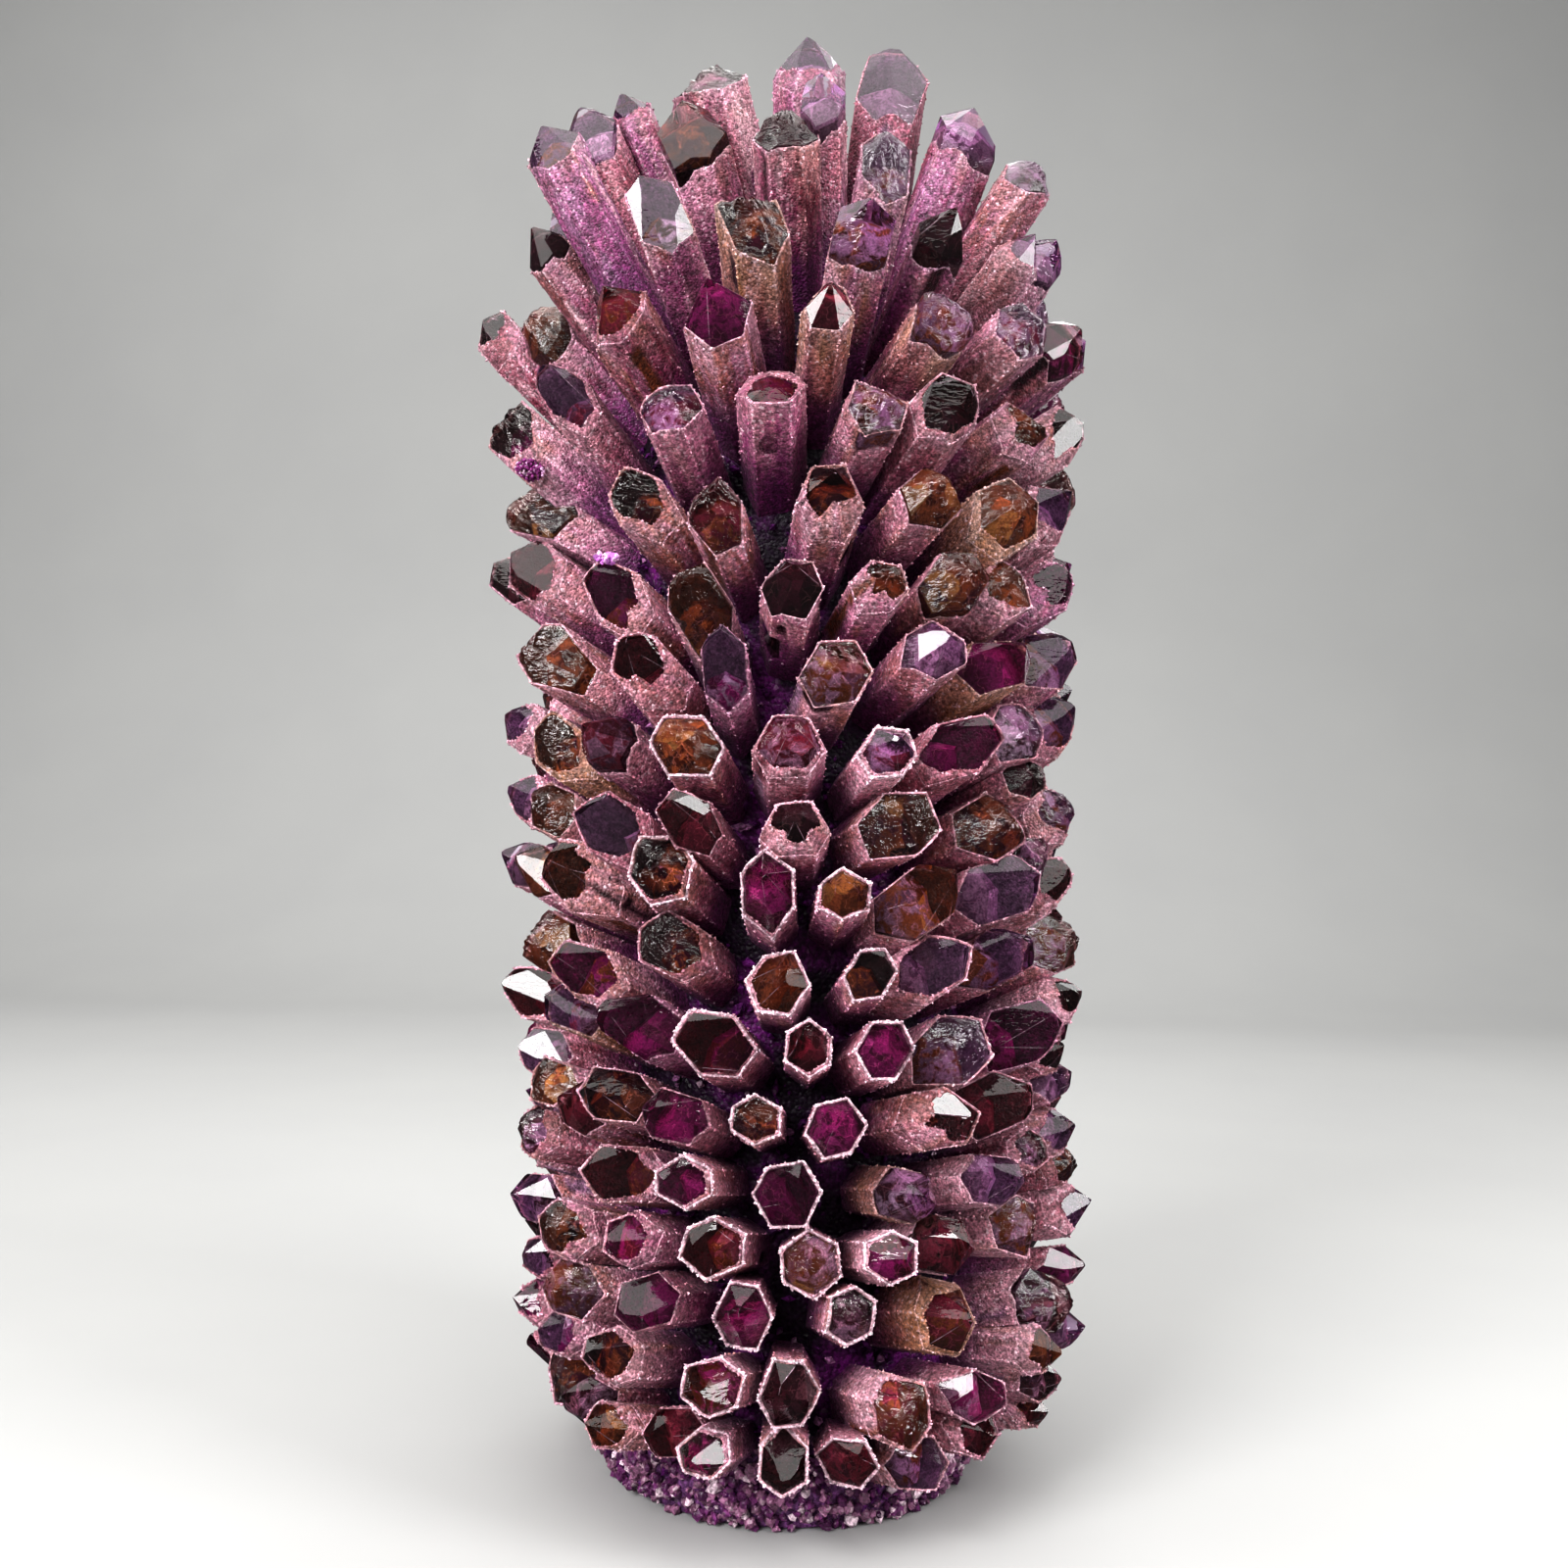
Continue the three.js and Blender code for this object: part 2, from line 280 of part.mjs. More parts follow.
  [34.2,83.5,215.4,70.3,22.4,20,38,26,0.89,0.58,0.27,75],
  [-87,9.5,218.3,169.3,24.4,20.2,36,52,0.99,0.57,0.11,12],
  [-83,-26.6,219,-164.5,19.1,18,34,56,0.87,0.61,0.24,78],
  [-20.9,86.3,231.7,104.4,20.1,22.2,36,27,0.91,0.63,0.66,92],
  [87.7,10.6,231.3,9.9,21.3,22,36,40,0.88,0.5,0.12,157],
  [-68.4,58.3,230.6,139,22.8,23.6,37.5,56,1.01,0.44,0.22,53],
  [58.2,66.9,234.8,51.8,22.9,21.7,36.5,37,0.94,0.55,0.42,63],
  [-87.1,27.4,240.8,162.4,24.7,22.4,40,9,1.12,0.5,0.17,100],
  [8.5,90.8,237.8,85.5,21.4,17.2,39,23,1,0.6,0.21,174],
  [78.1,41.2,240.3,26.1,26.1,19.9,37,37,1.01,0.59,0.33,20],
  [-44,76.3,244.8,122.2,25.2,18.7,36.5,56,1.07,0.62,0.67,89],
  [85.5,-13,243,-9.4,26.3,20.1,35,42,0.91,0.57,0.38,117],
  [-86.5,-1.1,251.4,-178.8,25.2,16.4,35,28,0.96,0.5,0.05,59],
  [34.7,80.9,252.7,61.9,23.5,22.5,36,37,1.04,0.65,0.29,139],
  [-78.8,43.3,259.2,147.6,24,19.4,38.5,38,0.98,0.66,0.62,120],
  [-15,90.2,263.6,100.6,27.2,22.6,41,11,0.89,0.63,0.33,163],
  [87.5,19.8,262.6,14.6,23.6,20.9,38,49,0.97,0.56,0.07,93],
  [-59.5,65.2,264.4,135.5,24,16.6,36.5,47,0.96,0.58,0.7,99],
  [61.1,64.1,265,44.9,20.7,21.3,36,45,1.09,0.62,0.56,37],
  [-87.2,21.6,272.1,163.5,25.8,17.7,39,10,0.88,0.6,0.41,41],
  [10,91.3,273.1,82.6,25.3,22.5,41,4,0.93,0.52,0.18,47],
  [-36.7,84.1,280.7,115.2,27.3,19.5,41.5,18,1.03,0.66,0.63,351],
  [83.3,-19.8,280.2,-11.9,28.2,15.6,35,7,0.97,0.49,0.25,82],
  [78.8,44.4,285.5,28.3,26.3,17.2,39.5,59,0.9,0.56,0.29,101],
  [37.9,80.4,286.3,62.9,26.9,19.4,38,33,0.91,0.59,0.7,0],
  [-79.1,46.2,287.2,149.4,28.2,19.5,41.5,35,1.09,0.64,0.21,162],
  [-11.1,90.9,294.9,96,27.3,20.3,41.5,43,0.87,0.47,0.21,123],
  [85.1,10.9,294.7,7.8,26.5,22.6,34.5,10,1.1,0.46,0.16,109],
  [-64,64.1,297.2,128.5,25.8,16.7,40,48,0.99,0.65,0.31,101],
  [-89.8,15.5,301.4,171.1,28.9,19.4,41.5,43,0.88,0.7,0.52,88],
  [62.7,63.3,301.9,44.1,32.1,23.7,40.5,36,0.92,0.7,0.19,45],
  [12.8,88.9,306.9,78.2,27.8,20.5,39.5,10,1.07,0.47,0.14,63],
  [-41.9,79.8,311.4,119.2,29.9,19.5,40.5,25,0.86,0.65,0.24,110],
  [85.7,-9.9,312.4,-8.1,35.1,20.1,38.5,25,0.99,0.58,0.67,34],
  [-81.4,41.9,317.3,152.3,36.2,22.8,45.5,14,0.94,0.58,0.27,116],
  [82.5,34.5,316.5,22.9,27.6,17.1,39,19,1.04,0.53,0.19,118],
  [42.1,78,323,62.3,29.6,19.8,39,22,0.89,0.48,0.19,128],
  [-62.1,63.9,324.1,131.2,31.3,21.5,40,56,0.92,0.46,0.19,149],
  [-13.8,89.7,329.2,101.8,32.2,19.2,42.5,27,1.13,0.52,0.21,130],
  [-84.1,6.6,332.8,-180,37,18.5,38.5,37,1.06,0.61,0.59,90],
  [66.8,58.9,337.5,45.2,36.3,20.4,44,12,1.01,0.45,0.2,67],
  [16.1,86.1,337.6,77.8,41.8,18.3,44.5,50,0.93,0.46,0.19,102],
  [85.2,4.1,340.6,3.3,38.2,21.5,41.5,38,0.9,0.58,0.29,359],
  [-40.5,79.5,339.6,118.9,37,20.8,45,21,0.99,0.52,0.18,62],
  [-78.5,36.7,345.3,154.1,38.8,19.9,44.5,35,0.95,0.61,0.69,143],
  [78.9,34.6,358,28.2,39.1,21,47,8,0.92,0.63,0.32,108],
  [39.7,74.3,356.7,59.5,44.1,19.2,47,1,0.94,0.5,0.08,47],
  [-61.8,59,358.3,132,40.8,16.4,47,20,1.08,0.5,0.47,72],
  [-16.5,86,359.2,107.1,44.6,17.7,52,26,1.03,0.62,0.68,136],
  [-84.5,15.2,363.7,171.2,39.6,17.9,48,50,1.06,0.49,0.44,103],
  [11.8,83.9,366.9,85.4,47.4,19,52,46,0.95,0.65,0.61,88],
  [59.4,55.4,369.1,39.6,42.6,22.3,45.5,31,1.01,0.57,0.07,106],
  [78.6,4.2,370.6,7,49.2,16.8,46.5,31,1.04,0.62,0.58,65],
  [-40.6,68.7,373.9,122.2,48,16.9,48,32,1,0.54,0.48,74],
  [-67.8,39.7,375.9,152.5,46.9,17.1,46.5,14,0.88,0.61,0.4,81],
  [66.7,31.8,388.1,22.3,51,19.9,52,38,1.07,0.57,0.25,144],
  [-11.8,69.5,390.5,99.3,50.8,20.9,51.5,18,1.12,0.66,0.59,44],
  [-68.8,1.3,389.4,179.3,50,20.2,49.5,26,1.09,0.51,0.25,89],
  [17.4,68.7,391.9,77.4,53.3,20.8,53,53,0.94,0.64,0.28,122],
  [43.1,48.8,398.6,49.2,49.5,16.1,53.5,0,1.07,0.59,0.34,44],
  [-38.7,53.4,398.9,126.1,52.1,20.7,54.5,17,1.03,0.57,0.72,134],
  [-54.8,28.6,403,155.9,57.6,22.6,55.5,59,0.89,0.56,0.09,139],
  [50.6,15.2,413.6,14.7,58.8,19.2,58,27,0.87,0.43,0.24,44],
  [-6.2,54.5,413.7,95.4,61.7,16.6,59,51,0.9,0.47,0.22,144],
  [-44.9,-0.3,416.7,-174.8,62.1,20.2,58.5,34,0.86,0.44,0.23,150],
  [25,36.8,423.3,52.8,69.4,20,63,28,1.11,0.61,0.62,7],
  [-29.3,33.3,421.9,132.8,65.8,17.6,62.5,50,1.05,0.55,0.16,348],
  [-3.6,28.4,436.2,80.2,72,13.6,73.5,59,1.14,0.53,0.2,120],
];

// Repeatable irregularity of a natural corner: a number from -1 to 1.
function wobble(i, k) {
  const s = Math.sin(i * 127.1 + k * 311.7 + 0.5) * 43758.5453;
  return 2 * (s - Math.floor(s)) - 1;
}

// A closed geometry with its shared vertices merged and its zero-area triangles dropped.
function closed(geometry) {
  const g = geometry.clone();
  for (const name of Object.keys(g.attributes))
    if (name !== "position") g.deleteAttribute(name);
  const merged = mergeVertices(g, 1e-4);
  const from = merged.index.array;
  const kept = [];
  for (let i = 0; i < from.length; i += 3) {
    const [a, b, c] = [from[i], from[i + 1], from[i + 2]];
    if (a !== b && b !== c && c !== a) kept.push(a, b, c);
  }
  merged.setIndex(kept);
  return merged;
}

// The crusted column with its flat foot.
function columnGeometry() {
  const outline = CORE_PROFILE.map(([r, z]) => new THREE.Vector2(r, z));
  const lathe = new THREE.LatheGeometry(outline, CORE_SIDES);
  lathe.rotateX(Math.PI / 2); // the lathe axis becomes +Z
  return closed(lathe);
}

// One quartz point: a tapering six-sided prism under a lopsided six-faced termination.
function pointGeometry(row, index) {
  const [x, y, z, azimuth, rise, width, length, turn, ratio, cap, skew, way] = row;
  const az = THREE.MathUtils.degToRad(azimuth);
  const el = THREE.MathUtils.degToRad(rise);
  const axis = new THREE.Vector3(
    Math.cos(az) * Math.cos(el),
    Math.sin(az) * Math.cos(el),
    Math.sin(el),
  );
  const side = new THREE.Vector3(-Math.sin(az), Math.cos(az), 0);
  const up = new THREE.Vector3().crossVectors(axis, side);
  const radius = width / 2;
  const off = THREE.MathUtils.degToRad(way);
  const apex = [skew * radius * Math.cos(off), skew * radius * Math.sin(off)];
  const deep = length + ROOT_DEPTH;
  const vertices = [];
  // The tip is at (x, y, z); the prism's own axis passes beside it by the apex offset.
  const put = (a, b, down) => {
    const p = new THREE.Vector3(x, y, z)
      .addScaledVector(side, a - apex[0])
      .addScaledVector(up, b - apex[1])
      .addScaledVector(axis, -down);
    vertices.push(p.x, p.y, p.z);
  };
  // A central apex stands on a pyramid; the further off centre it is, the more one slope rules.
  const chisel = CHISEL * Math.min(1, skew / 0.7);
  const corners = [];
  for (let k = 0; k < 6; k++) {
    const angle = THREE.MathUtils.degToRad(turn + 60 * k + 5 * wobble(index, k));
    const r = radius * (1 + 0.06 * wobble(index, k + 6));
    corners.push([r * Math.cos(angle) / Math.sqrt(ratio), r * Math.sin(angle) * Math.sqrt(ratio)]);
  }
  for (const [a, b] of corners) put(a * ROOT_TAPER, b * ROOT_TAPER, deep); // 0-5 root
  for (const [a, b] of corners) {
    const reach = Math.hypot(a - apex[0], b - apex[1]) / radius;
    const beyond = Math.max(0, (apex[0] - a) * Math.cos(off) + (apex[1] - b) * Math.sin(off)) / radius;
    const down = cap * width * (reach + (beyond - reach) * chisel);
    const t = 1 - (1 - ROOT_TAPER) * (down / deep);
    put(a * t, b * t, down); // 6-11 shoulder
  }
  put(apex[0], apex[1], 0); // 12 apex
  put(0, 0, deep); // 13 middle of the root
  const index3 = [];
  for (let k = 0; k < 6; k++) {
    const n = (k + 1) % 6;
    index3.push(k, n, n + 6, k, n + 6, k + 6);
    index3.push(k + 6, n + 6, 12);
    index3.push(n, k, 13);
  }
  const g = new THREE.BufferGeometry();
  g.setAttribute("position", new THREE.Float32BufferAttribute(vertices, 3));
  g.setIndex(index3);
  return closed(g);
}

const wasm = await Module();
wasm.setup();

function solid(geometry) {
  return new wasm.Manifold(
    new wasm.Mesh({
      numProp: 3,
      vertProperties: new Float32Array(geometry.attributes.position.array),
      triVerts: new Uint32Array(geometry.index.array),
    }),
  );
}

const cluster = wasm.Manifold.union([
  solid(columnGeometry()),
  ...CRYSTALS.map((row, i) => solid(pointGeometry(row, i))),
]);

// Flat faces that the joins cut into strips become single faces again.
const result = cluster.asOriginal().simplify(FLATNESS).getMesh();
const geometry = new THREE.BufferGeometry();
const positions = new Float32Array(result.numVert * 3);
for (let i = 0; i < result.numVert; i++)
  positions.set(
    result.vertProperties.subarray(i * result.numProp, i * result.numProp + 3),
    i * 3,
  );
geometry.setAttribute("position", new THREE.BufferAttribute(positions, 3));
geometry.setIndex(new THREE.BufferAttribute(result.triVerts, 1));
geometry.computeVertexNormals();

const druzyQuartz = new THREE.MeshStandardMaterial({
  color: 0x8a5468, // dusty purple-pink druzy coat over dark violet quartz
  roughness: 0.55,
  metalness: 0,
  flatShading: true,
});
const mesh = new THREE.Mesh(geometry, druzyQuartz);
mesh.name = "quartz_cluster";

const group = new THREE.Group();
group.name = "phantom_quartz_cluster";
group.userData.overallHeight = OVERALL_HEIGHT;
group.add(mesh);

export default group;
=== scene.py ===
"""Phantom quartz cluster: the looks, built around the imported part. Metres in Blender; the tables below are in millimetres."""
import math

import bpy
import numpy as np
from mathutils import Matrix, Vector


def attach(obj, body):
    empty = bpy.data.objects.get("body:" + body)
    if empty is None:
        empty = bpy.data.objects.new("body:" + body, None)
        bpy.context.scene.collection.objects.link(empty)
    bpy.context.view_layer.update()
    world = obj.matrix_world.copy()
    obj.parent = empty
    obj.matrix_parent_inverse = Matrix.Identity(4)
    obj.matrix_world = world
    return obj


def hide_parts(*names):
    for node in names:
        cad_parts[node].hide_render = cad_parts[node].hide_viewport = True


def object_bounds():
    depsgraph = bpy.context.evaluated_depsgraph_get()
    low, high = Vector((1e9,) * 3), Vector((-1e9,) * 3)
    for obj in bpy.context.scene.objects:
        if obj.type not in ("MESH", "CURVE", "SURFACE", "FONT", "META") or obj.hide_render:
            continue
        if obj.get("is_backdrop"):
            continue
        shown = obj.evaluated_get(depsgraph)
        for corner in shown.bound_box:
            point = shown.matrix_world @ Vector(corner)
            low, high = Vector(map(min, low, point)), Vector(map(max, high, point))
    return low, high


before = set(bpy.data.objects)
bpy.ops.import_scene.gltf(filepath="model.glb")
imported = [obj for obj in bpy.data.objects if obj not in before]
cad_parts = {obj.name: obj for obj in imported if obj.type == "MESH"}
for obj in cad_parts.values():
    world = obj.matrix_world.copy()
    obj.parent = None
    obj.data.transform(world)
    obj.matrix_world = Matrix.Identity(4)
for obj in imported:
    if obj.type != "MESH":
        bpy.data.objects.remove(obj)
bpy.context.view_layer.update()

# ---------------------------------------------------------------- camera
CAM_AT = (0.0, -0.501, 0.207)
PITCH, YAW, ROLL = math.radians(-0.5), math.radians(-0.5), math.radians(-1.1)
cp, sp, cy, sy = math.cos(PITCH), math.sin(PITCH), math.cos(YAW), math.sin(YAW)
look = Vector((sy * cp, cy * cp, -sp))
level = Vector((cy, -sy, 0.0))
drop = look.cross(level)
cam_x = math.cos(ROLL) * level + math.sin(ROLL) * drop
cam_down = -math.sin(ROLL) * level + math.cos(ROLL) * drop
lens = bpy.data.cameras.new("camera")
lens.sensor_width, lens.lens = 36.0, 36.1
lens.clip_start, lens.clip_end = 0.02, 50.0
camera = bpy.data.objects.new("camera", lens)
turn = Matrix((cam_x, -cam_down, -look)).transposed().to_4x4()
camera.matrix_world = Matrix.Translation(CAM_AT) @ turn
bpy.context.scene.collection.objects.link(camera)
bpy.context.scene.camera = camera

# ---------------------------------------------------------------- layout, as in the CAD part (mm)
ROOT_DEPTH, ROOT_TAPER, CHISEL = 8.0, 0.66, 0.7
CORE_PROFILE = np.array([(54, 0), (58, 10), (56, 30), (55, 306), (47, 342), (25, 364), (0.5, 368)], float)

# tip x, y, z | azimuth, rise | width | length | turn | ratio | cap | skew | way | surface of the tip
# (c clean faces, r rough, h seen along its axis) | colours sealed in it | colour of its coat
CRYSTALS = [
    (-34.4, -28.1, 431.8, -138.9, 69.8, 25.2, 71.5, 37, 0.86, 0.45, 0.21, 132, "r", "kw", "p"),
    (-37.9, -44.3, 410.8, -127.1, 62.9, 21, 59.5, 23, 0.96, 0.54, 0.43, 129, "c", "ka", "p"),
    (-57.2, -34, 416.9, -145.3, 61.5, 15.4, 70, 11, 0.93, 0.61, 0.26, 145, "c", "w", "v"),
    (-69, -36.4, 411.2, -150.6, 60.3, 17.9, 74, 0, 0.9, 0.59, 0.65, 148, "c", "w", "m"),
    (-78.9, -44.2, 402.2, -152.3, 56.3, 17, 77, 5, 1.12, 0.54, 0.37, 152, "c", "wa", "v"),
    (-78.1, -25.2, 385.9, -158.7, 52.5, 19.2, 57.5, 20, 1.03, 0.62, 0.35, 173, "c", "wa", "p"),
    (-83.3, -32.3, 376.9, -159.3, 50.7, 14.9, 62.5, 4, 1.09, 0.69, 0.22, 141, "c", "k", "p"),
    (-47.3, -63.9, 380.6, -120.2, 51.2, 17.8, 51.5, 10, 1.09, 0.63, 0.64, 135, "c", "wa", "p"),
    (-18.1, -79.5, 376, -95.7, 47.8, 20.3, 50.5, 3, 0.95, 0.6, 0.66, 114, "r", "ka", "g"),
    (-8.1, -63.1, 403.4, -95.9, 56.5, 20.1, 56.5, 6, 1.01, 0.54, 0.05, 114, "r", "k", "s"),
    (-0.8, -4.7, 449.7, -98.7, 80.4, 24.5, 84.5, 17, 1.02, 0.6, 0.31, 98, "c", "w", "p"),
    (3.1, -44.8, 419, -95.5, 61.2, 14.9, 61.5, 18, 1.08, 0.56, 0.5, 94, "c", "w", "m"),
    (25.8, -24.2, 437, -58.4, 76.6, 22.6, 74.5, 48, 0.88, 0.66, 0.63, 60, "c", "w", "m"),
    (22, -67.1, 393.9, -74.9, 53.7, 16.7, 54.5, 22, 1.03, 0.67, 0.5, 91, "r", "wa", "p"),
    (16.6, -83.2, 367.8, -78, 44.3, 18, 50.5, 14, 0.98, 0.47, 0.29, 72, "c", "wa", "p"),
    (49.6, -33.8, 414.2, -40.4, 64.9, 20.1, 64.5, 55, 1.09, 0.42, 0.26, 47, "c", "w", "v"),
    (71, -34.3, 400, -24.3, 53.5, 17.3, 64.5, 36, 0.99, 0.59, 0.28, 10, "r", "wk", "p"),
    (40.3, -74.4, 369.1, -62.5, 45, 16.4, 50.5, 13, 0.97, 0.57, 0.1, 56, "c", "k", "v"),
    (66, -51.8, 370.2, -37.9, 45, 17.3, 50, 35, 0.94, 0.55, 0.07, 25, "c", "w", "p"),
    (75.4, -27.8, 377.2, -23.6, 51.3, 15.5, 52, 22, 0.88, 0.57, 0.37, 34, "c", "w", "p"),
    (-57.3, -72, 346.9, -125.7, 39.3, 21.7, 48.5, 0, 1.12, 0.52, 0.14, 124, "c", "ma", "m"),
    (-26.5, -87.1, 344.8, -102.7, 38.6, 22.1, 48.5, 28, 1.11, 0.56, 0.12, 103, "c", "p", "p"),
    (-90.3, -17.1, 357.7, -169.5, 40, 20.6, 53.5, 19, 0.93, 0.65, 0.25, 158, "r", "a", "p"),
    (-101.9, -9.4, 355.6, -173.6, 42.7, 15.9, 66, 49, 1.04, 0.66, 0.64, 159, "c", "km", "p"),
    (-75.7, -56.1, 328.9, -135.8, 41.3, 15.8, 49.5, 10, 1.03, 0.78, 0.61, 151, "c", "wm", "m"),
    (-38.9, -85.3, 317, -106.7, 34.1, 17.9, 45.5, 2, 1.02, 0.5, 0.14, 135, "r", "wm", "p"),
    (-96.7, -20, 326.5, -167.1, 38.1, 20.7, 56, 49, 0.97, 0.64, 0.67, 150, "r", "kp", "p"),
    (-9.5, -91.6, 314.8, -91.9, 31.7, 20, 43.5, 5, 1.09, 0.28, 0.5, 271, "c", "mp", "p"),
    (-94.2, -16.7, 299.7, -170.1, 28, 22.2, 45.5, 14, 0.87, 0.67, 0.49, 188, "r", "ak", "p"),
    (-90.5, -19, 281, -168.9, 32.2, 19.6, 44.5, 42, 1.13, 0.6, 0.68, 169, "c", "m", "p"),
    (-98.1, -7.7, 278.9, -172.8, 34.5, 16.1, 53, 53, 0.93, 0.62, 0.72, 177, "c", "k", "p"),
    (-57.6, -72.3, 269.2, -127.8, 27, 18.4, 42, 50, 1.1, 0.61, 0.66, 133, "c", "pa", "p"),
    (-50.7, -79.3, 293.7, -119, 29.9, 18, 43.5, 59, 0.91, 0.66, 0.54, 148, "r", "ka", "p"),
    (-27.6, -88.7, 291.4, -104.2, 28.8, 16.8, 42.5, 27, 1.1, 0.64, 0.63, 121, "r", "ma", "p"),
    (-32.4, -87.1, 269.2, -102.8, 28.3, 19, 43, 18, 1.08, 0.75, 0.68, 120, "r", "a", "p"),
    (-86.4, -36.1, 255.2, -155.8, 29.5, 21.3, 43, 19, 0.95, 0.73, 0.5, 165, "r", "a", "p"),
    (-47.3, -81.5, 249.3, -112.1, 28.5, 19.2, 43, 20, 0.89, 0.64, 0.7, 135, "c", "m", "p"),
    (-21.8, -90.3, 250.5, -95.7, 25.1, 15.2, 41.5, 35, 1.25, 0.57, 0.76, 104, "c", "wp", "v"),
    (-91.3, -17.1, 231, -169.3, 23.4, 16.1, 41, 50, 1.08, 0.51, 0.41, 166, "c", "w", "p"),
    (6.3, -90.4, 342.7, -84, 37, 13.7, 47.5, 54, 0.97, 0.55, 0.28, 85, "c", "m", "g"),
    (41.8, -80.4, 344.7, -56.5, 33.2, 18, 47, 21, 0.96, 0.45, 0.34, 66, "r", "wa", "g"),
    (66.6, -62.1, 345.9, -39.9, 33.6, 18.2, 46.5, 10, 0.89, 0.44, 0.42, 40, "r", "wm", "p"),
    (81.3, -39.1, 347.3, -24, 36.5, 17.1, 47.5, 1, 1.1, 0.52, 0.44, 27, "c", "kp", "v"),
    (84.8, -25.9, 347.7, -18.3, 38.9, 14.9, 47, 51, 0.94, 0.59, 0.27, 19, "c", "w", "v"),
    (22.1, -89.1, 317.3, -70.8, 29.3, 18.9, 42.5, 5, 1.09, 0.44, 0.15, 55, "r", "wa", "m"),
    (43.6, -81.7, 319.2, -61.6, 31.5, 19.8, 43.5, 33, 0.98, 0.43, 0.43, 43, "c", "k", "m"),
    (68.4, -61.2, 319, -38.9, 27.4, 19.5, 42, 44, 0.89, 0.53, 0.38, 45, "r", "a", "p"),
    (81.8, -42.1, 319.4, -26.4, 30.3, 19.7, 43, 15, 1.01, 0.6, 0.62, 18, "c", "k", "p"),
    (8.1, -92, 293, -81.5, 27.4, 20, 42.5, -0, 1.1, 0.56, 0.33, 90, "c", "ka", "p"),
    (38.9, -84.4, 293.4, -62.3, 24.7, 19.1, 41.5, 46, 0.92, 0.49, 0.12, 63, "r", "a", "m"),
    (65.1, -67.9, 294.4, -47, 27.9, 22.4, 42.5, 17, 0.99, 0.64, 0.33, 43, "r", "a", "g"),
    (78.4, -49, 297.1, -33.8, 32.4, 20, 44.5, 51, 0.95, 0.6, 0.35, 31, "c", "w", "p"),
    (-1.8, -92, 267.8, -88, 25.5, 18.6, 41, -7, 1.09, 0.53, 0.13, 78, "c", "k", "p"),
    (23.9, -89.6, 268.5, -73.3, 24.2, 14.9, 41, 48, 0.89, 0.53, 0.39, 59, "r", "a", "p"),
    (47.6, -80.7, 272.8, -61.2, 26.4, 18.6, 41.5, 55, 0.89, 0.57, 0.3, 42, "r", "ak", "m"),
    (63.5, -66.9, 271.6, -49, 29.7, 18.6, 43, 24, 1, 0.56, 0.24, 24, "r", "a", "p"),
    (77.8, -50, 273.5, -35.7, 32.7, 18.3, 44.5, 3, 0.9, 0.59, 0.71, 15, "c", "p", "v"),
    (40.5, -83.7, 251.8, -64.7, 23.7, 19.1, 40.5, 27, 0.95, 0.43, 0.18, 41, "c", "w", "p"),
    (62.6, -68.5, 250.4, -49.5, 26.8, 19.2, 42, 59, 0.88, 0.53, 0.32, 21, "c", "g", "g"),
    (78.3, -49.1, 253.9, -36, 32.5, 19.3, 44.5, 37, 1.01, 0.48, 0.49, 15, "c", "wa", "p"),
    (12.8, -91.3, 246.6, -79.2, 22.4, 18.8, 40, 2, 0.91, 0.59, 0.37, 59, "r", "aw", "p"),
    (-60, -70.1, 226.4, -129.2, 24.8, 18.5, 41, 15, 0.98, 0.58, 0.06, 154, "c", "mw", "p"),
    (-33.9, -87.8, 225.7, -105.1, 23.9, 20.6, 40.5, 7, 0.92, 0.56, 0.21, 136, "rh", "a", "m"),
    (-88.4, -27.2, 208.6, -162.9, 21.8, 15.8, 40, 25, 1.05, 0.56, 0.39, 167, "c", "w", "p"),
    (-78.4, -48.7, 207.3, -145.4, 29.1, 16.1, 42.5, 55, 1.13, 0.63, 0.37, 169, "r", "a", "p"),
    (-59.5, -72.8, 203.7, -125.1, 25.6, 19, 41.5, 49, 1.07, 0.6, 0.68, 158, "c", "wm", "m"),
    (-35, -86.8, 205.7, -108.6, 21.9, 15.9, 40, 60, 1.12, 0.65, 0.61, 149, "c", "m", "m"),
    (-42.4, -85.3, 194.1, -109.3, 22.7, 19.5, 40, 13, 1.13, 0.51, 0.51, 143, "rh", "ka", "m"),
    (-91.6, -17.4, 189, -169.4, 23.8, 14.9, 41.5, 14, 1.1, 0.63, 0.26, 173, "c", "wk", "p"),
    (-82.8, -41.3, 188.6, -152, 28, 15.3, 42, 31, 1.05, 0.56, 0.49, 169, "c", "a", "p"),
    (-71.7, -58.1, 189.4, -140.2, 22.7, 21.6, 40, 19, 1.12, 0.62, 0.61, 165, "c", "ak", "p"),
    (-8.7, -91.5, 187.4, -92.5, 19.2, 19.1, 39, 37, 1.3, 0.53, 0.27, 113, "ch", "p", "p"),
    (-83.5, -39.7, 167.5, -154.6, 19.4, 18.8, 39.5, 47, 1.13, 0.61, 0.32, 175, "r", "a", "p"),
    (-1.5, -92.4, 225.9, -89.1, 22, 18.9, 40.5, -2, 0.92, 0.48, 0.26, 75, "c", "mw", "p"),
    (26.7, -89.3, 223.4, -73.6, 21.1, 15.2, 40, 55, 0.88, 0.55, 0.22, 62, "ch", "wm", "p"),
    (52.5, -77.4, 228, -58.1, 23.7, 19.4, 40.5, 54, 0.9, 0.57, 0.69, 23, "c", "g", "m"),
    (68.8, -61.6, 232.7, -43.8, 27.1, 18.8, 42, 57, 1.12, 0.59, 0.34, 28, "r", "wk", "m"),
    (80.3, -45.9, 235.8, -33.1, 30.9, 19.5, 43.5, 54, 1.1, 0.55, 0.32, 32, "c", "wa", "m"),
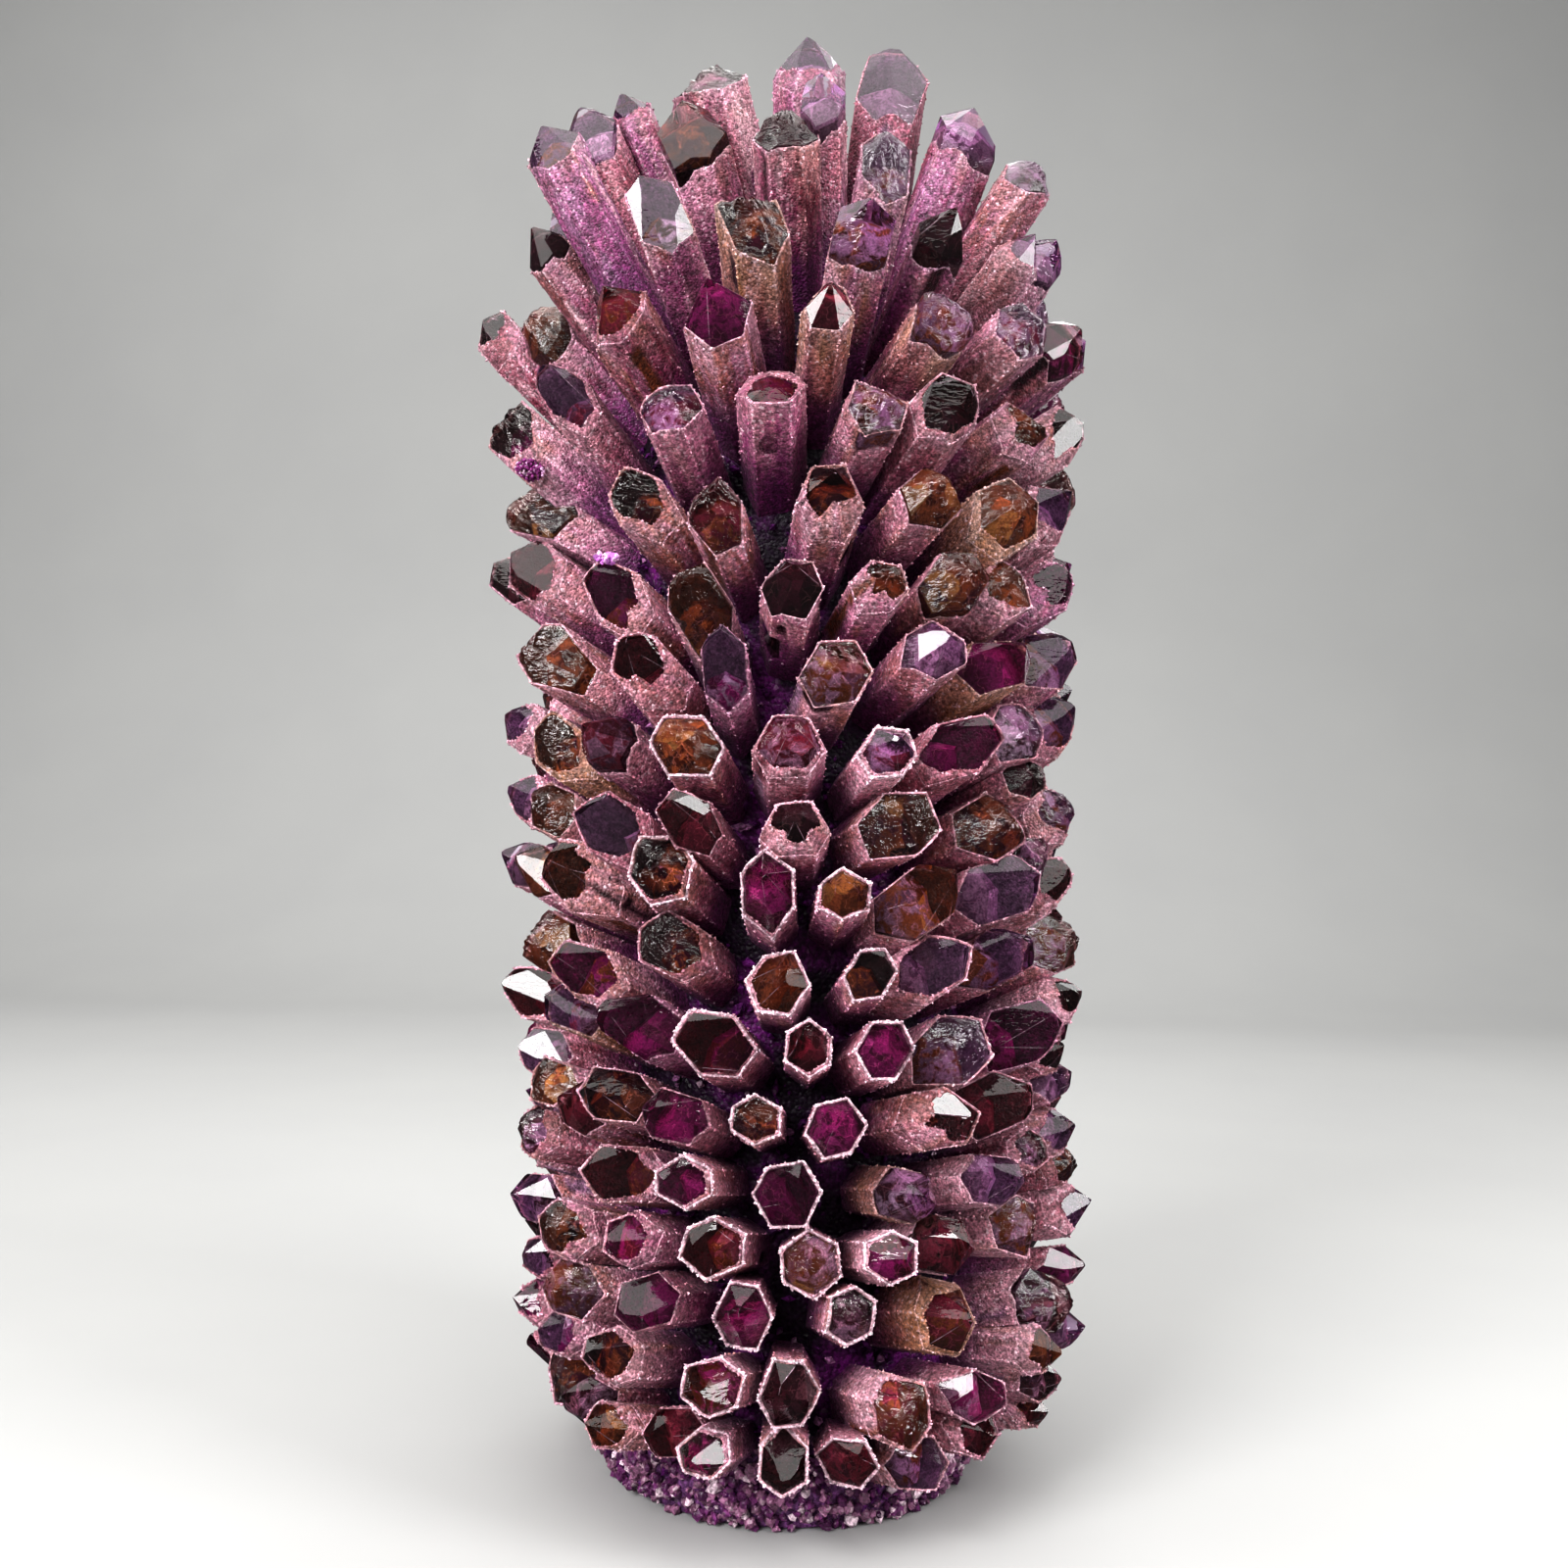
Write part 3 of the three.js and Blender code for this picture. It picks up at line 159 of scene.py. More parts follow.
    (70.5, -59.7, 216.9, -41.4, 24.7, 13, 41, 27, 1.12, 0.65, 0.28, 3, "r", "k", "m"),
    (84.6, -37.2, 209.3, -24.8, 27.7, 19.8, 42, 42, 0.96, 0.67, 0.24, 17, "r", "wa", "p"),
    (63.9, -66.7, 204, -46.5, 21.2, 21.1, 40, 24, 1.09, 0.66, 0.28, 357, "r", "ka", "m"),
    (74.4, -54.8, 194.3, -36.4, 19.6, 14.9, 39.5, 51, 0.87, 0.54, 0.4, 25, "r", "kw", "v"),
    (36.7, -85.9, 205.8, -66.6, 15.9, 20.2, 38.5, 51, 0.99, 0.66, 0.5, 25, "r", "ak", "p"),
    (-0.4, -92, 202.8, -89, 20.2, 18.3, 39.5, 5, 0.9, 0.53, 0.14, 88, "c", "k", "p"),
    (13.6, -91.1, 185.2, -85.6, 19.9, 14.3, 39.5, 29, 0.88, 0.5, 0.2, 76, "ch", "a", "p"),
    (42.5, -83.4, 187.2, -68.2, 22.8, 20.9, 40, 34, 0.87, 0.56, 0.72, 27, "c", "aw", "p"),
    (67.4, -65.8, 187.1, -46, 21.4, 19.2, 40, 6, 1.08, 0.6, 0.65, 7, "c", "w", "m"),
    (79.9, -46.4, 187.7, -31.6, 27, 18.4, 41.5, 41, 0.91, 0.58, 0.66, 1, "c", "m", "p"),
    (86.9, -31.4, 169.6, -20, 25.3, 21.4, 41, 5, 0.9, 0.56, 0.29, 1, "r", "aw", "p"),
    (-66.6, -66, 162.3, -133.7, 21.2, 17.7, 40, 1, 0.97, 0.6, 0.68, 162, "c", "ga", "p"),
    (-42.1, -83.5, 171.8, -111.9, 22.4, 18.5, 40, 45, 1.01, 0.76, 0.64, 169, "r", "ka", "m"),
    (-89.1, -24.6, 149.8, -164.7, 18.3, 18.3, 39, 28, 0.94, 0.68, 0.58, 183, "c", "m", "p"),
    (-70, -60.1, 150.7, -137.6, 24.8, 16.3, 40.5, 58, 1.11, 0.54, 0.49, 187, "c", "wm", "g"),
    (-52.3, -76.5, 149.4, -122.4, 21, 18.2, 39.5, 28, 1.01, 0.6, 0.72, 166, "c", "p", "v"),
    (-27.3, -88.9, 147.8, -101.5, 18.8, 19.2, 39, 0, 0.85, 0.47, 0.71, 143, "ch", "mp", "p"),
    (-1.6, -91.8, 159.4, -91.3, 17.4, 18.5, 38.5, -6, 1.1, 0.42, 0.36, 349, "ch", "a", "p"),
    (-56.3, -74.4, 127.8, -124.6, 21.2, 17.6, 39.5, 12, 0.92, 0.58, 0.41, 179, "c", "ka", "p"),
    (-37.1, -85.1, 124.2, -110.4, 19.8, 16, 39, 53, 0.88, 0.5, 0.49, 171, "c", "p", "m"),
    (-10.6, -91.2, 124.8, -93.7, 16.2, 14.3, 38.5, 31, 0.87, 0.58, 0.18, 136, "rh", "ka", "p"),
    (-80.5, -41.3, 133.3, -152.5, 17.4, 15.1, 36.5, 14, 1.07, 0.53, 0.46, 181, "c", "wp", "m"),
    (-78.4, -48.9, 125.8, -151, 19.1, 16, 39, 4, 0.86, 0.55, 0.41, 192, "r", "a", "p"),
    (-79.1, -37.7, 119.8, -153, 18.1, 13.3, 34, 39, 1.01, 0.67, 0.24, 182, "c", "w", "m"),
    (-65.4, -65.3, 123.3, -133.3, 23.3, 14.9, 40, 47, 1.11, 0.68, 0.25, 162, "c", "m", "p"),
    (-83.4, -40, 109.5, -154.5, 14.4, 17, 38, 44, 1, 0.6, 0.28, 193, "r", "kw", "m"),
    (24.3, -89.7, 165.3, -80.4, 19.9, 13.3, 39.5, -1, 1.03, 0.48, 0.65, 40, "ch", "ka", "p"),
    (45.6, -82.2, 167.7, -67.7, 23.3, 19.8, 40.5, 26, 0.92, 0.56, 0.79, 16, "c", "w", "p"),
    (76.3, -52.1, 145.5, -35.4, 24.9, 19.8, 41, 52, 1.04, 0.57, 0.68, 3, "c", "p", "v"),
    (85.8, -34.5, 151.9, -22.1, 25.5, 15.5, 41, 35, 1.01, 0.5, 0.46, 357, "c", "k", "p"),
    (80.5, -39.8, 136.1, -26.6, 23.9, 13, 37.5, 58, 0.87, 0.58, 0.28, 5, "c", "k", "m"),
    (83.2, -33.5, 127.6, -22.1, 23.9, 13.5, 37.5, 10, 1.08, 0.5, 0.42, 356, "c", "w", "p"),
    (84.5, -37.5, 112.5, -23.5, 17.9, 17.7, 39, 56, 1.03, 0.62, 0.31, 350, "c", "w", "p"),
    (1.9, -91.8, 144, -89.6, 15.7, 14.3, 38.5, 32, 1.07, 0.48, 0.36, 151, "ch", "m", "p"),
    (28, -88.2, 144.5, -75.3, 18.1, 15.8, 38.5, -2, 1.1, 0.48, 0.38, 42, "ch", "p", "p"),
    (53.7, -75, 144, -55.7, 20.9, 20.7, 39.5, 43, 1.07, 0.69, 0.5, 17, "r", "wa", "p"),
    (67.5, -63.5, 125.7, -43.5, 18.2, 18.7, 39, 17, 1.03, 0.65, 0.63, 357, "c", "m", "m"),
    (49.1, -80.7, 122.9, -61.2, 15.2, 18, 38, 8, 1.05, 0.59, 0.7, 355, "c", "ma", "m"),
    (12.9, -91, 123.5, -87.4, 15.6, 16.8, 38.5, 7, 0.99, 0.47, 0.24, 57, "ch", "p", "m"),
    (74.3, -54.8, 110.4, -36.3, 18.2, 13, 38.5, 23, 0.94, 0.6, 0.36, 2, "r", "kw", "m"),
    (-55.8, -75.4, 105.5, -125.3, 16, 17.6, 38.5, 11, 0.98, 0.64, 0.7, 187, "c", "ma", "p"),
    (-32.8, -87.6, 105.5, -108.9, 13.1, 14.6, 38, 37, 0.93, 0.46, 0.34, 183, "ch", "g", "p"),
    (-81.9, -42.7, 90.2, -152.3, 11.4, 14.9, 37.5, 13, 1.07, 0.53, 0.34, 186, "c", "wk", "p"),
    (-72.5, -57.4, 86.1, -142.1, 14.7, 17.7, 38, 54, 0.98, 0.62, 0.33, 177, "r", "ak", "p"),
    (-49.3, -78.8, 87.9, -121.6, 15.4, 14.9, 38, 29, 1.07, 0.56, 0.46, 186, "c", "gm", "p"),
    (-25, -89.4, 88.7, -105, 14.4, 16.3, 38, 26, 0.97, 0.4, 0.41, 188, "ch", "ma", "p"),
    (-77.1, -48.3, 74, -146.7, 11.8, 14.9, 36, 39, 0.87, 0.55, 0.48, 192, "c", "wk", "m"),
    (-71.3, -58.8, 69.7, -141.2, 14.7, 18.9, 38, 5, 0.88, 0.6, 0.28, 173, "r", "aw", "p"),
    (-44.8, -81.9, 71.1, -118, 13.4, 15.4, 37.5, 25, 1.14, 0.49, 0.5, 198, "c", "p", "p"),
    (-12.9, -90.8, 73.9, -91.7, 11.1, 18.5, 37.5, 0, 1.22, 0.48, 0.35, 107, "ch", "g", "p"),
    (-80.5, -45.2, 60.5, -152, 15.9, 15.5, 38, 43, 1.01, 0.58, 0.32, 190, "c", "p", "m"),
    (-70.4, -59.2, 56.4, -141, 16, 15, 38, 58, 0.9, 0.57, 0.4, 190, "c", "wp", "p"),
    (-72, -51.3, 41.7, -143, 16.4, 19.6, 34, 9, 1.09, 0.59, 0.39, 202, "r", "ka", "p"),
    (-54.8, -74.4, 55, -126.5, 16.8, 16.3, 37.5, 33, 1.02, 0.56, 0.42, 191, "c", "ka", "p"),
    (-63.1, -61.5, 38.8, -137.9, 16.6, 14.9, 33.5, 40, 0.91, 0.59, 0.26, 187, "c", "kw", "m"),
    (-55, -70.3, 35.1, -131.5, 17.3, 14.9, 34.5, 8, 0.94, 0.64, 0.28, 186, "c", "a", "p"),
    (-36, -82.2, 36.9, -114.1, 16.6, 14.9, 35, 11, 1, 0.51, 0.48, 196, "c", "m", "p"),
    (-23.3, -89.4, 51, -105.3, 15.3, 17.5, 37, 24, 0.91, 0.51, 0.27, 216, "ch", "ag", "p"),
    (-24.7, -87.1, 32.2, -105.3, 13.4, 14.3, 33.5, 50, 0.95, 0.53, 0.29, 213, "ch", "kp", "p"),
    (-1.5, -91.4, 52.3, -89.7, 9.2, 19.1, 36.5, 3, 1.22, 0.45, 0.31, 140, "ch", "k", "p"),
    (-0.3, -90.6, 29.6, -90, 7.4, 15.7, 33.5, 29, 1.08, 0.47, 0.36, 271, "ch", "k", "p"),
    (19, -86.3, 34, -87.5, 10.6, 16.4, 33, -1, 0.9, 0.49, 0.4, 56, "ch", "mk", "p"),
    (37.1, -85.6, 44, -68.4, 12.6, 20.2, 36.5, 37, 1.06, 0.59, 0.41, 340, "r", "am", "p"),
    (42.6, -75.4, 27.3, -58.9, 14.1, 15.6, 30.5, 57, 1, 0.57, 0.35, 344, "c", "wa", "p"),
    (58.4, -66.4, 32.4, -47.8, 9.8, 14.9, 33, 36, 1.09, 0.56, 0.37, 329, "c", "mk", "p"),
    (60.4, -68.2, 43.6, -48.5, 8.2, 15.3, 36, 28, 1.03, 0.58, 0.43, 358, "c", "gw", "p"),
    (78.3, -35.5, 28.4, -24, 9, 14.9, 30, 45, 0.9, 0.56, 0.27, 324, "c", "ma", "p"),
    (81.1, -38.1, 38.4, -24.1, 7.6, 13, 34, 14, 0.92, 0.54, 0.4, 346, "c", "kw", "m"),
    (80.7, -43, 47.8, -28.2, 7.2, 14.9, 36, 11, 1.07, 0.64, 0.24, 342, "c", "a", "p"),
    (91.5, -19.8, 47.9, -12.1, 9.1, 14.9, 38.5, 27, 0.87, 0.6, 0.29, 330, "c", "w", "m"),
    (86.7, -32.1, 60, -19.7, 11.8, 20, 37.5, 24, 1.08, 0.57, 0.41, 341, "r", "kw", "p"),
    (91.6, -17.4, 66, -11, 9.3, 14.9, 38, 50, 0.87, 0.62, 0.26, 336, "c", "p", "m"),
    (50.3, -77.4, 68.4, -56.5, 14.9, 23.1, 38, 43, 1.1, 0.56, 0.06, 356, "c", "am", "g"),
    (18, -90.2, 74.7, -79.7, 15.8, 15.7, 38, 24, 1.01, 0.51, 0.32, 98, "rh", "kw", "p"),
    (4.7, -92, 86.2, -89.1, 11.7, 19.1, 37.5, 35, 1.05, 0.55, 0.16, 148, "rh", "aw", "p"),
    (31.1, -88.2, 87, -72.5, 14.2, 14.6, 37.5, 25, 0.95, 0.44, 0.36, 352, "ch", "pm", "p"),
    (48.5, -78.4, 88.2, -58.2, 12.3, 18, 37.5, 44, 1.05, 0.57, 0.29, 0, "c", "mk", "p"),
    (75.9, -52.5, 86.6, -35.1, 9.9, 19.8, 37.5, 25, 0.86, 0.59, 0.22, 348, "r", "aw", "p"),
    (93.2, -18, 86.2, -10.8, 12.4, 20.6, 40.5, 16, 1.2, 0.58, 0.3, 341, "c", "wm", "p"),
    (63.9, -66.9, 104.7, -46.3, 15.4, 16, 38, 43, 1.03, 0.48, 0.47, 1, "c", "w", "p"),
    (36.7, -85.3, 102.4, -68.2, 11.3, 15.9, 37.5, 42, 1, 0.62, 0.27, 358, "c", "wk", "g"),
    (2.4, -91.5, 106.3, -90.1, 13.1, 19.1, 37.5, 6, 1.04, 0.45, 0.42, 37, "ch", "p", "p"),
    (89, -24.9, 100, -15.1, 15.3, 14.9, 38.5, 42, 0.95, 0.66, 0.23, 356, "r", "ka", "m"),
    (-78.2, -49.2, 227, -146.2, 27.7, 19.4, 42, 35, 0.89, 0.65, 0.54, 154, "r", "ak", "g"),
    (66.3, -64.2, 168.1, -45.6, 23.5, 17.7, 40.5, 27, 0.92, 0.61, 0.67, 8, "c", "wa", "m"),
    (-70.6, 34.4, 19.7, 153.1, 8, 19.1, 21.5, 15, 1.08, 0.6, 0.38, 65, "r", "wm", "p"),
    (74, -7.4, 18.9, -11.3, 7.9, 18.5, 17.5, 51, 1.14, 0.63, 0.64, 139, "c", "wk", "p"),
    (57, 55.2, 18.8, 45.5, 4.4, 17.3, 22.5, 45, 0.9, 0.57, 0.24, 88, "c", "mp", "g"),
    (-71.1, -17.9, 21.5, -169, 4.3, 23.3, 16.5, 46, 0.88, 0.59, 0.06, 4, "c", "kw", "m"),
    (74.6, 23.4, 18.9, 17.8, 3.3, 17.7, 21, 54, 1.12, 0.51, 0.45, 55, "c", "wa", "m"),
    (-50.2, 57.2, 18.2, 131.3, 9.6, 16.2, 19, 51, 0.88, 0.53, 0.47, 105, "c", "w", "p"),
    (-18.2, 77.9, 19.1, 99.2, 9.8, 17.9, 23, 46, 1.08, 0.65, 0.65, 130, "c", "kw", "g"),
    (26.9, 73.8, 19.9, 68, 5.5, 19.5, 21.5, 48, 0.91, 0.58, 0.35, 165, "r", "k", "m"),
    (-76.7, 9.8, 22.3, 166.4, 6.7, 21, 21, 54, 0.89, 0.46, 0.22, 60, "c", "ma", "p"),
    (52.5, 67.2, 33.6, 51.1, 8.4, 18.5, 29.5, 14, 0.88, 0.51, 0.05, 13, "c", "mp", "v"),
    (7.1, 86.3, 39, 84.6, 7, 21.5, 31, 15, 0.9, 0.48, 0.47, 55, "c", "ka", "v"),
    (-46.9, 72.6, 39.6, 120.5, 9.3, 21.7, 31, 1, 1.09, 0.59, 0.62, 158, "r", "wk", "p"),
    (76.1, 43.7, 38.1, 29.2, 6.8, 19.7, 32, 1, 1.11, 0.6, 0.41, 161, "c", "ma", "p"),
    (-67.5, 56.4, 39.2, 143.5, 9.1, 21.6, 32.5, 29, 1.03, 0.63, 0.66, 74, "r", "kw", "g"),
    (-84.1, 29.7, 39.6, 160.1, 3.8, 20.4, 33.5, 41, 1.01, 0.52, 0.08, 61, "r", "k", "s"),
    (85.1, 14.4, 42.2, 5.1, 9.5, 16.2, 31, 31, 1.06, 0.6, 0.2, 86, "r", "p", "v"),
    (-80.3, -21.6, 39.1, -160.2, 4.8, 17.8, 27.5, 39, 1.09, 0.66, 0.6, 77, "c", "p", "m"),
    (-22, 85.5, 43.9, 104.6, 0.7, 21.2, 32.5, 15, 1.03, 0.59, 0.43, 23, "c", "w", "p"),
    (34.3, 83.2, 50.8, 66.3, 9.9, 19.9, 35, 5, 1.07, 0.48, 0.08, 117, "r", "wm", "m"),
    (-84.4, 3.7, 53.9, 176.9, 10, 20.4, 29, 45, 0.95, 0.66, 0.64, 123, "r", "k", "s"),
    (61.3, 64.6, 62.5, 45.4, 10.6, 17.4, 34, 6, 1, 0.54, 0.44, 137, "c", "wm", "s"),
    (80.5, 38.7, 65.3, 24.4, 9.8, 23.1, 34, 13, 1.12, 0.63, 0.65, 43, "c", "ma", "p"),
    (-45.5, 79.4, 65.8, 115.7, 6, 18.1, 36.5, 6, 1.05, 0.56, 0.71, 356, "c", "a", "p"),
    (-81.9, 32.2, 67, 156.7, 9.1, 16.2, 33, 57, 0.87, 0.62, 0.69, 53, "c", "wa", "p"),
    (-70.2, 55.2, 67.4, 148.6, 12.3, 18.1, 35, 31, 0.99, 0.59, 0.2, 67, "r", "kw", "s"),
    (-16.1, 88.7, 67.6, 102.8, 10.7, 21.1, 35, 19, 1.02, 0.41, 0.29, 130, "c", "a", "p"),
    (16.1, 87.4, 73, 76.7, 11.3, 22.3, 34, 20, 1.13, 0.52, 0.35, 127, "r", "wm", "p"),
    (84.9, 9.6, 72.3, 11, 10.5, 18.5, 30.5, 58, 0.96, 0.54, 0.11, 127, "c", "k", "g"),
    (-82.6, -14.8, 74.9, -169.3, 15.1, 21.3, 29.5, 55, 1.02, 0.67, 0.23, 49, "c", "k", "v"),
    (46.3, 76.5, 83, 57.8, 11.9, 20.5, 34.5, 6, 1.09, 0.66, 0.22, 62, "c", "ka", "m"),
    (-84.4, 12.2, 89.8, 172.4, 6.8, 21.9, 30, 9, 0.97, 0.56, 0.31, 105, "c", "m", "p"),
    (72, 53.5, 91.1, 40.1, 14.3, 16.4, 35.5, 2, 1.1, 0.54, 0.12, 119, "r", "mp", "p"),
    (-56.4, 69.1, 96.4, 125.5, 12.5, 21, 34.5, 49, 1.03, 0.54, 0.16, 153, "r", "wm", "m"),
    (-32.6, 83.1, 93.9, 115.7, 7.1, 17, 34, 16, 1.03, 0.59, 0.66, 98, "c", "a", "p"),
    (-77.4, 43, 94.2, 153.3, 16, 18.8, 34.5, 39, 1.04, 0.53, 0.14, 60, "c", "p", "m"),
    (85.8, 25.2, 95.9, 18.6, 13.7, 16.1, 35, 12, 1.08, 0.56, 0.08, 109, "c", "m", "p"),
    (2.2, 90.6, 99.3, 93.8, 16.2, 20, 37, 43, 0.96, 0.5, 0.2, 109, "r", "wk", "p"),
    (-84.1, -11.4, 101.9, -170.5, 18.6, 17.5, 31, 56, 0.95, 0.56, 0.36, 21, "r", "wa", "p"),
    (30.4, 85.5, 106.5, 71.1, 12.6, 20.1, 36, 50, 0.96, 0.5, 0.09, 77, "c", "p", "v"),
    (59.7, 68, 109.7, 45.3, 14.6, 17.8, 36.5, 28, 0.9, 0.59, 0.23, 100, "r", "w", "g"),
    (86.4, -1.3, 114.1, -0.1, 14.7, 20.1, 32, 57, 1.12, 0.6, 0.28, 123, "c", "kw", "p"),
    (80.2, 42.4, 120.8, 26.2, 12.5, 18.8, 36, 57, 1.09, 0.62, 0.24, 167, "c", "k", "p"),
    (-86.6, 25.1, 118.1, 164.3, 13.3, 19, 35.5, 53, 1.05, 0.42, 0.29, 32, "c", "wm", "p"),
    (-72.7, 54.8, 118.3, 146.3, 9.7, 20.2, 36, 44, 0.96, 0.65, 0.3, 146, "c", "wm", "s"),
    (-47.3, 77.3, 116.2, 122.7, 14.1, 17.2, 36, 22, 0.99, 0.47, 0.11, 52, "r", "k", "s"),
    (-16.9, 87.6, 124.4, 101, 14.5, 17.6, 35, 8, 1.09, 0.62, 0.7, 96, "r", "k", "m"),
    (13.4, 88, 130.4, 82.2, 15.1, 17.2, 35, 39, 1.12, 0.58, 0.7, 47, "r", "g", "v"),
    (-87.5, -2.6, 132.8, -177.4, 15.4, 20, 33.5, 53, 0.94, 0.45, 0.2, 79, "r", "g", "m"),
    (48.3, 76.1, 137.9, 59.9, 17.5, 18, 36.5, 23, 1.12, 0.44, 0.27, 66, "c", "wk", "p"),
    (87.7, 23.2, 140.9, 13.1, 16.8, 19, 37, 60, 1.06, 0.62, 0.71, 114, "c", "p", "m"),
    (87.4, -7.9, 139.8, -5.5, 13.5, 16.6, 33, 36, 0.98, 0.6, 0.75, 164, "c", "g", "m"),
    (72.7, 55.7, 146.5, 37.9, 15.5, 18.4, 37.5, 46, 0.97, 0.59, 0.3, 167, "r", "a", "p"),
    (-79, 46.7, 146, 147.8, 13.8, 18.8, 37.5, 26, 0.98, 0.67, 0.64, 100, "c", "k", "s"),
    (-59.9, 69.6, 142.8, 130.7, 14.2, 17.7, 37.5, 17, 0.87, 0.46, 0.21, 116, "c", "kw", "v"),
    (-38.6, 82.8, 152.7, 115.3, 19.9, 16.8, 38.5, 17, 0.88, 0.56, 0.26, 124, "r", "kw", "s"),
    (-85.5, 20.8, 149.8, 161.9, 18.7, 23.6, 34.5, 16, 0.95, 0.43, 0.2, 12, "c", "g", "p"),
    (-1.8, 90.9, 151.7, 87.8, 18.5, 17.1, 37.5, 30, 1.01, 0.51, 0.39, 84, "r", "p", "s"),
    (26.2, 85.4, 157.1, 69.6, 20.4, 21.1, 36.5, 9, 0.91, 0.42, 0.24, 93, "c", "ka", "s"),
    (-85, -1, 162.9, -179.7, 16.1, 15.8, 31, 7, 1.13, 0.54, 0.29, 91, "c", "kw", "p"),
    (-68.6, 59.6, 171.8, 144.2, 18.2, 20.8, 37.5, 14, 0.99, 0.59, 0.69, 46, "c", "kw", "p"),
    (80.5, 36.4, 166.9, 22, 22, 21.7, 35.5, 26, 0.9, 0.45, 0.27, 130, "c", "mp", "g"),
    (86.3, 2.8, 170.8, 3.4, 14.6, 18, 32, 13, 1, 0.61, 0.7, 15, "c", "mk", "m"),
    (63.4, 66.5, 171.5, 43.5, 18.7, 17.8, 39, 52, 0.98, 0.63, 0.7, 38, "c", "wa", "p"),
    (-18, 87.5, 177.1, 100.4, 21.5, 20.3, 36.5, 54, 1.06, 0.43, 0.3, 98, "c", "mk", "s"),
    (-81.8, 33.7, 177.3, 156.1, 19.3, 22.1, 35, 58, 1.11, 0.65, 0.67, 354, "c", "mp", "p"),
    (-45.8, 76.3, 178.6, 121.6, 18.5, 23.2, 35.5, 34, 0.98, 0.49, 0.25, 5, "r", "k", "m"),
    (12.2, 90, 181, 82.7, 19.1, 22, 37.5, 28, 0.9, 0.48, 0.23, 3, "c", "k", "v"),
    (39, 80.8, 184.7, 63.6, 18.1, 21, 36.5, 52, 0.94, 0.59, 0.45, 70, "c", "a", "p"),
    (-85.9, 11.4, 189.2, 171.3, 16.4, 21.2, 33, 47, 1.13, 0.67, 0.19, 74, "r", "wk", "g"),
    (-67.8, 60.9, 198.4, 140, 20.4, 19.2, 38.5, 18, 0.94, 0.5, 0.06, 32, "c", "p", "p"),
    (87.5, 23.5, 196.9, 12.2, 17.7, 22.2, 37, 37, 0.94, 0.58, 0.48, 24, "c", "wa", "p"),
    (84.3, -10.5, 199.4, -3, 19.8, 17.8, 31.5, 26, 0.95, 0.65, 0.67, 137, "c", "wa", "v"),
    (76.4, 50.6, 201, 36, 21.5, 19.3, 39, 38, 1.11, 0.49, 0.09, 36, "c", "wm", "p"),
    (-25.4, 85.4, 197.5, 107.3, 22.4, 19.1, 36.5, 20, 0.96, 0.44, 0.25, 40, "r", "wm", "s"),
    (56.7, 70.1, 205.1, 48.2, 18.7, 16, 37, 15, 1.11, 0.64, 0.6, 340, "c", "mk", "p"),
    (3.9, 89.7, 206.9, 84.4, 20.9, 18.2, 37, 11, 1.13, 0.5, 0.08, 114, "r", "mp", "m"),
    (-82.9, 38.5, 211, 153.7, 19.1, 19.5, 38.5, 34, 1.07, 0.62, 0.75, 154, "c", "w", "m"),
    (-47.9, 76.7, 216.6, 120.1, 21.6, 21.5, 38, 25, 0.87, 0.52, 0.05, 187, "c", "mp", "p"),
    (34.2, 83.5, 215.4, 70.3, 22.4, 20, 38, 26, 0.89, 0.58, 0.27, 75, "r", "wm", "p"),
    (-87, 9.5, 218.3, 169.3, 24.4, 20.2, 36, 52, 0.99, 0.57, 0.11, 12, "c", "wa", "p"),
    (-83, -26.6, 219, -164.5, 19.1, 18, 34, 56, 0.87, 0.61, 0.24, 78, "r", "mk", "v"),
    (-20.9, 86.3, 231.7, 104.4, 20.1, 22.2, 36, 27, 0.91, 0.63, 0.66, 92, "c", "ma", "v"),
    (87.7, 10.6, 231.3, 9.9, 21.3, 22, 36, 40, 0.88, 0.5, 0.12, 157, "c", "w", "p"),
    (-68.4, 58.3, 230.6, 139, 22.8, 23.6, 37.5, 56, 1.01, 0.44, 0.22, 53, "r", "ka", "g"),
    (58.2, 66.9, 234.8, 51.8, 22.9, 21.7, 36.5, 37, 0.94, 0.55, 0.42, 63, "r", "k", "p"),
    (-87.1, 27.4, 240.8, 162.4, 24.7, 22.4, 40, 9, 1.12, 0.5, 0.17, 100, "c", "ma", "p"),
    (8.5, 90.8, 237.8, 85.5, 21.4, 17.2, 39, 23, 1, 0.6, 0.21, 174, "r", "ma", "s"),
    (78.1, 41.2, 240.3, 26.1, 26.1, 19.9, 37, 37, 1.01, 0.59, 0.33, 20, "r", "ka", "g"),
    (-44, 76.3, 244.8, 122.2, 25.2, 18.7, 36.5, 56, 1.07, 0.62, 0.67, 89, "r", "wm", "v"),
    (85.5, -13, 243, -9.4, 26.3, 20.1, 35, 42, 0.91, 0.57, 0.38, 117, "c", "wk", "s"),
    (-86.5, -1.1, 251.4, -178.8, 25.2, 16.4, 35, 28, 0.96, 0.5, 0.05, 59, "c", "mk", "m"),
    (34.7, 80.9, 252.7, 61.9, 23.5, 22.5, 36, 37, 1.04, 0.65, 0.29, 139, "c", "mk", "p"),
    (-78.8, 43.3, 259.2, 147.6, 24, 19.4, 38.5, 38, 0.98, 0.66, 0.62, 120, "c", "wa", "p"),
    (-15, 90.2, 263.6, 100.6, 27.2, 22.6, 41, 11, 0.89, 0.63, 0.33, 163, "r", "m", "m"),
    (87.5, 19.8, 262.6, 14.6, 23.6, 20.9, 38, 49, 0.97, 0.56, 0.07, 93, "c", "w", "g"),
    (-59.5, 65.2, 264.4, 135.5, 24, 16.6, 36.5, 47, 0.96, 0.58, 0.7, 99, "c", "ma", "v"),
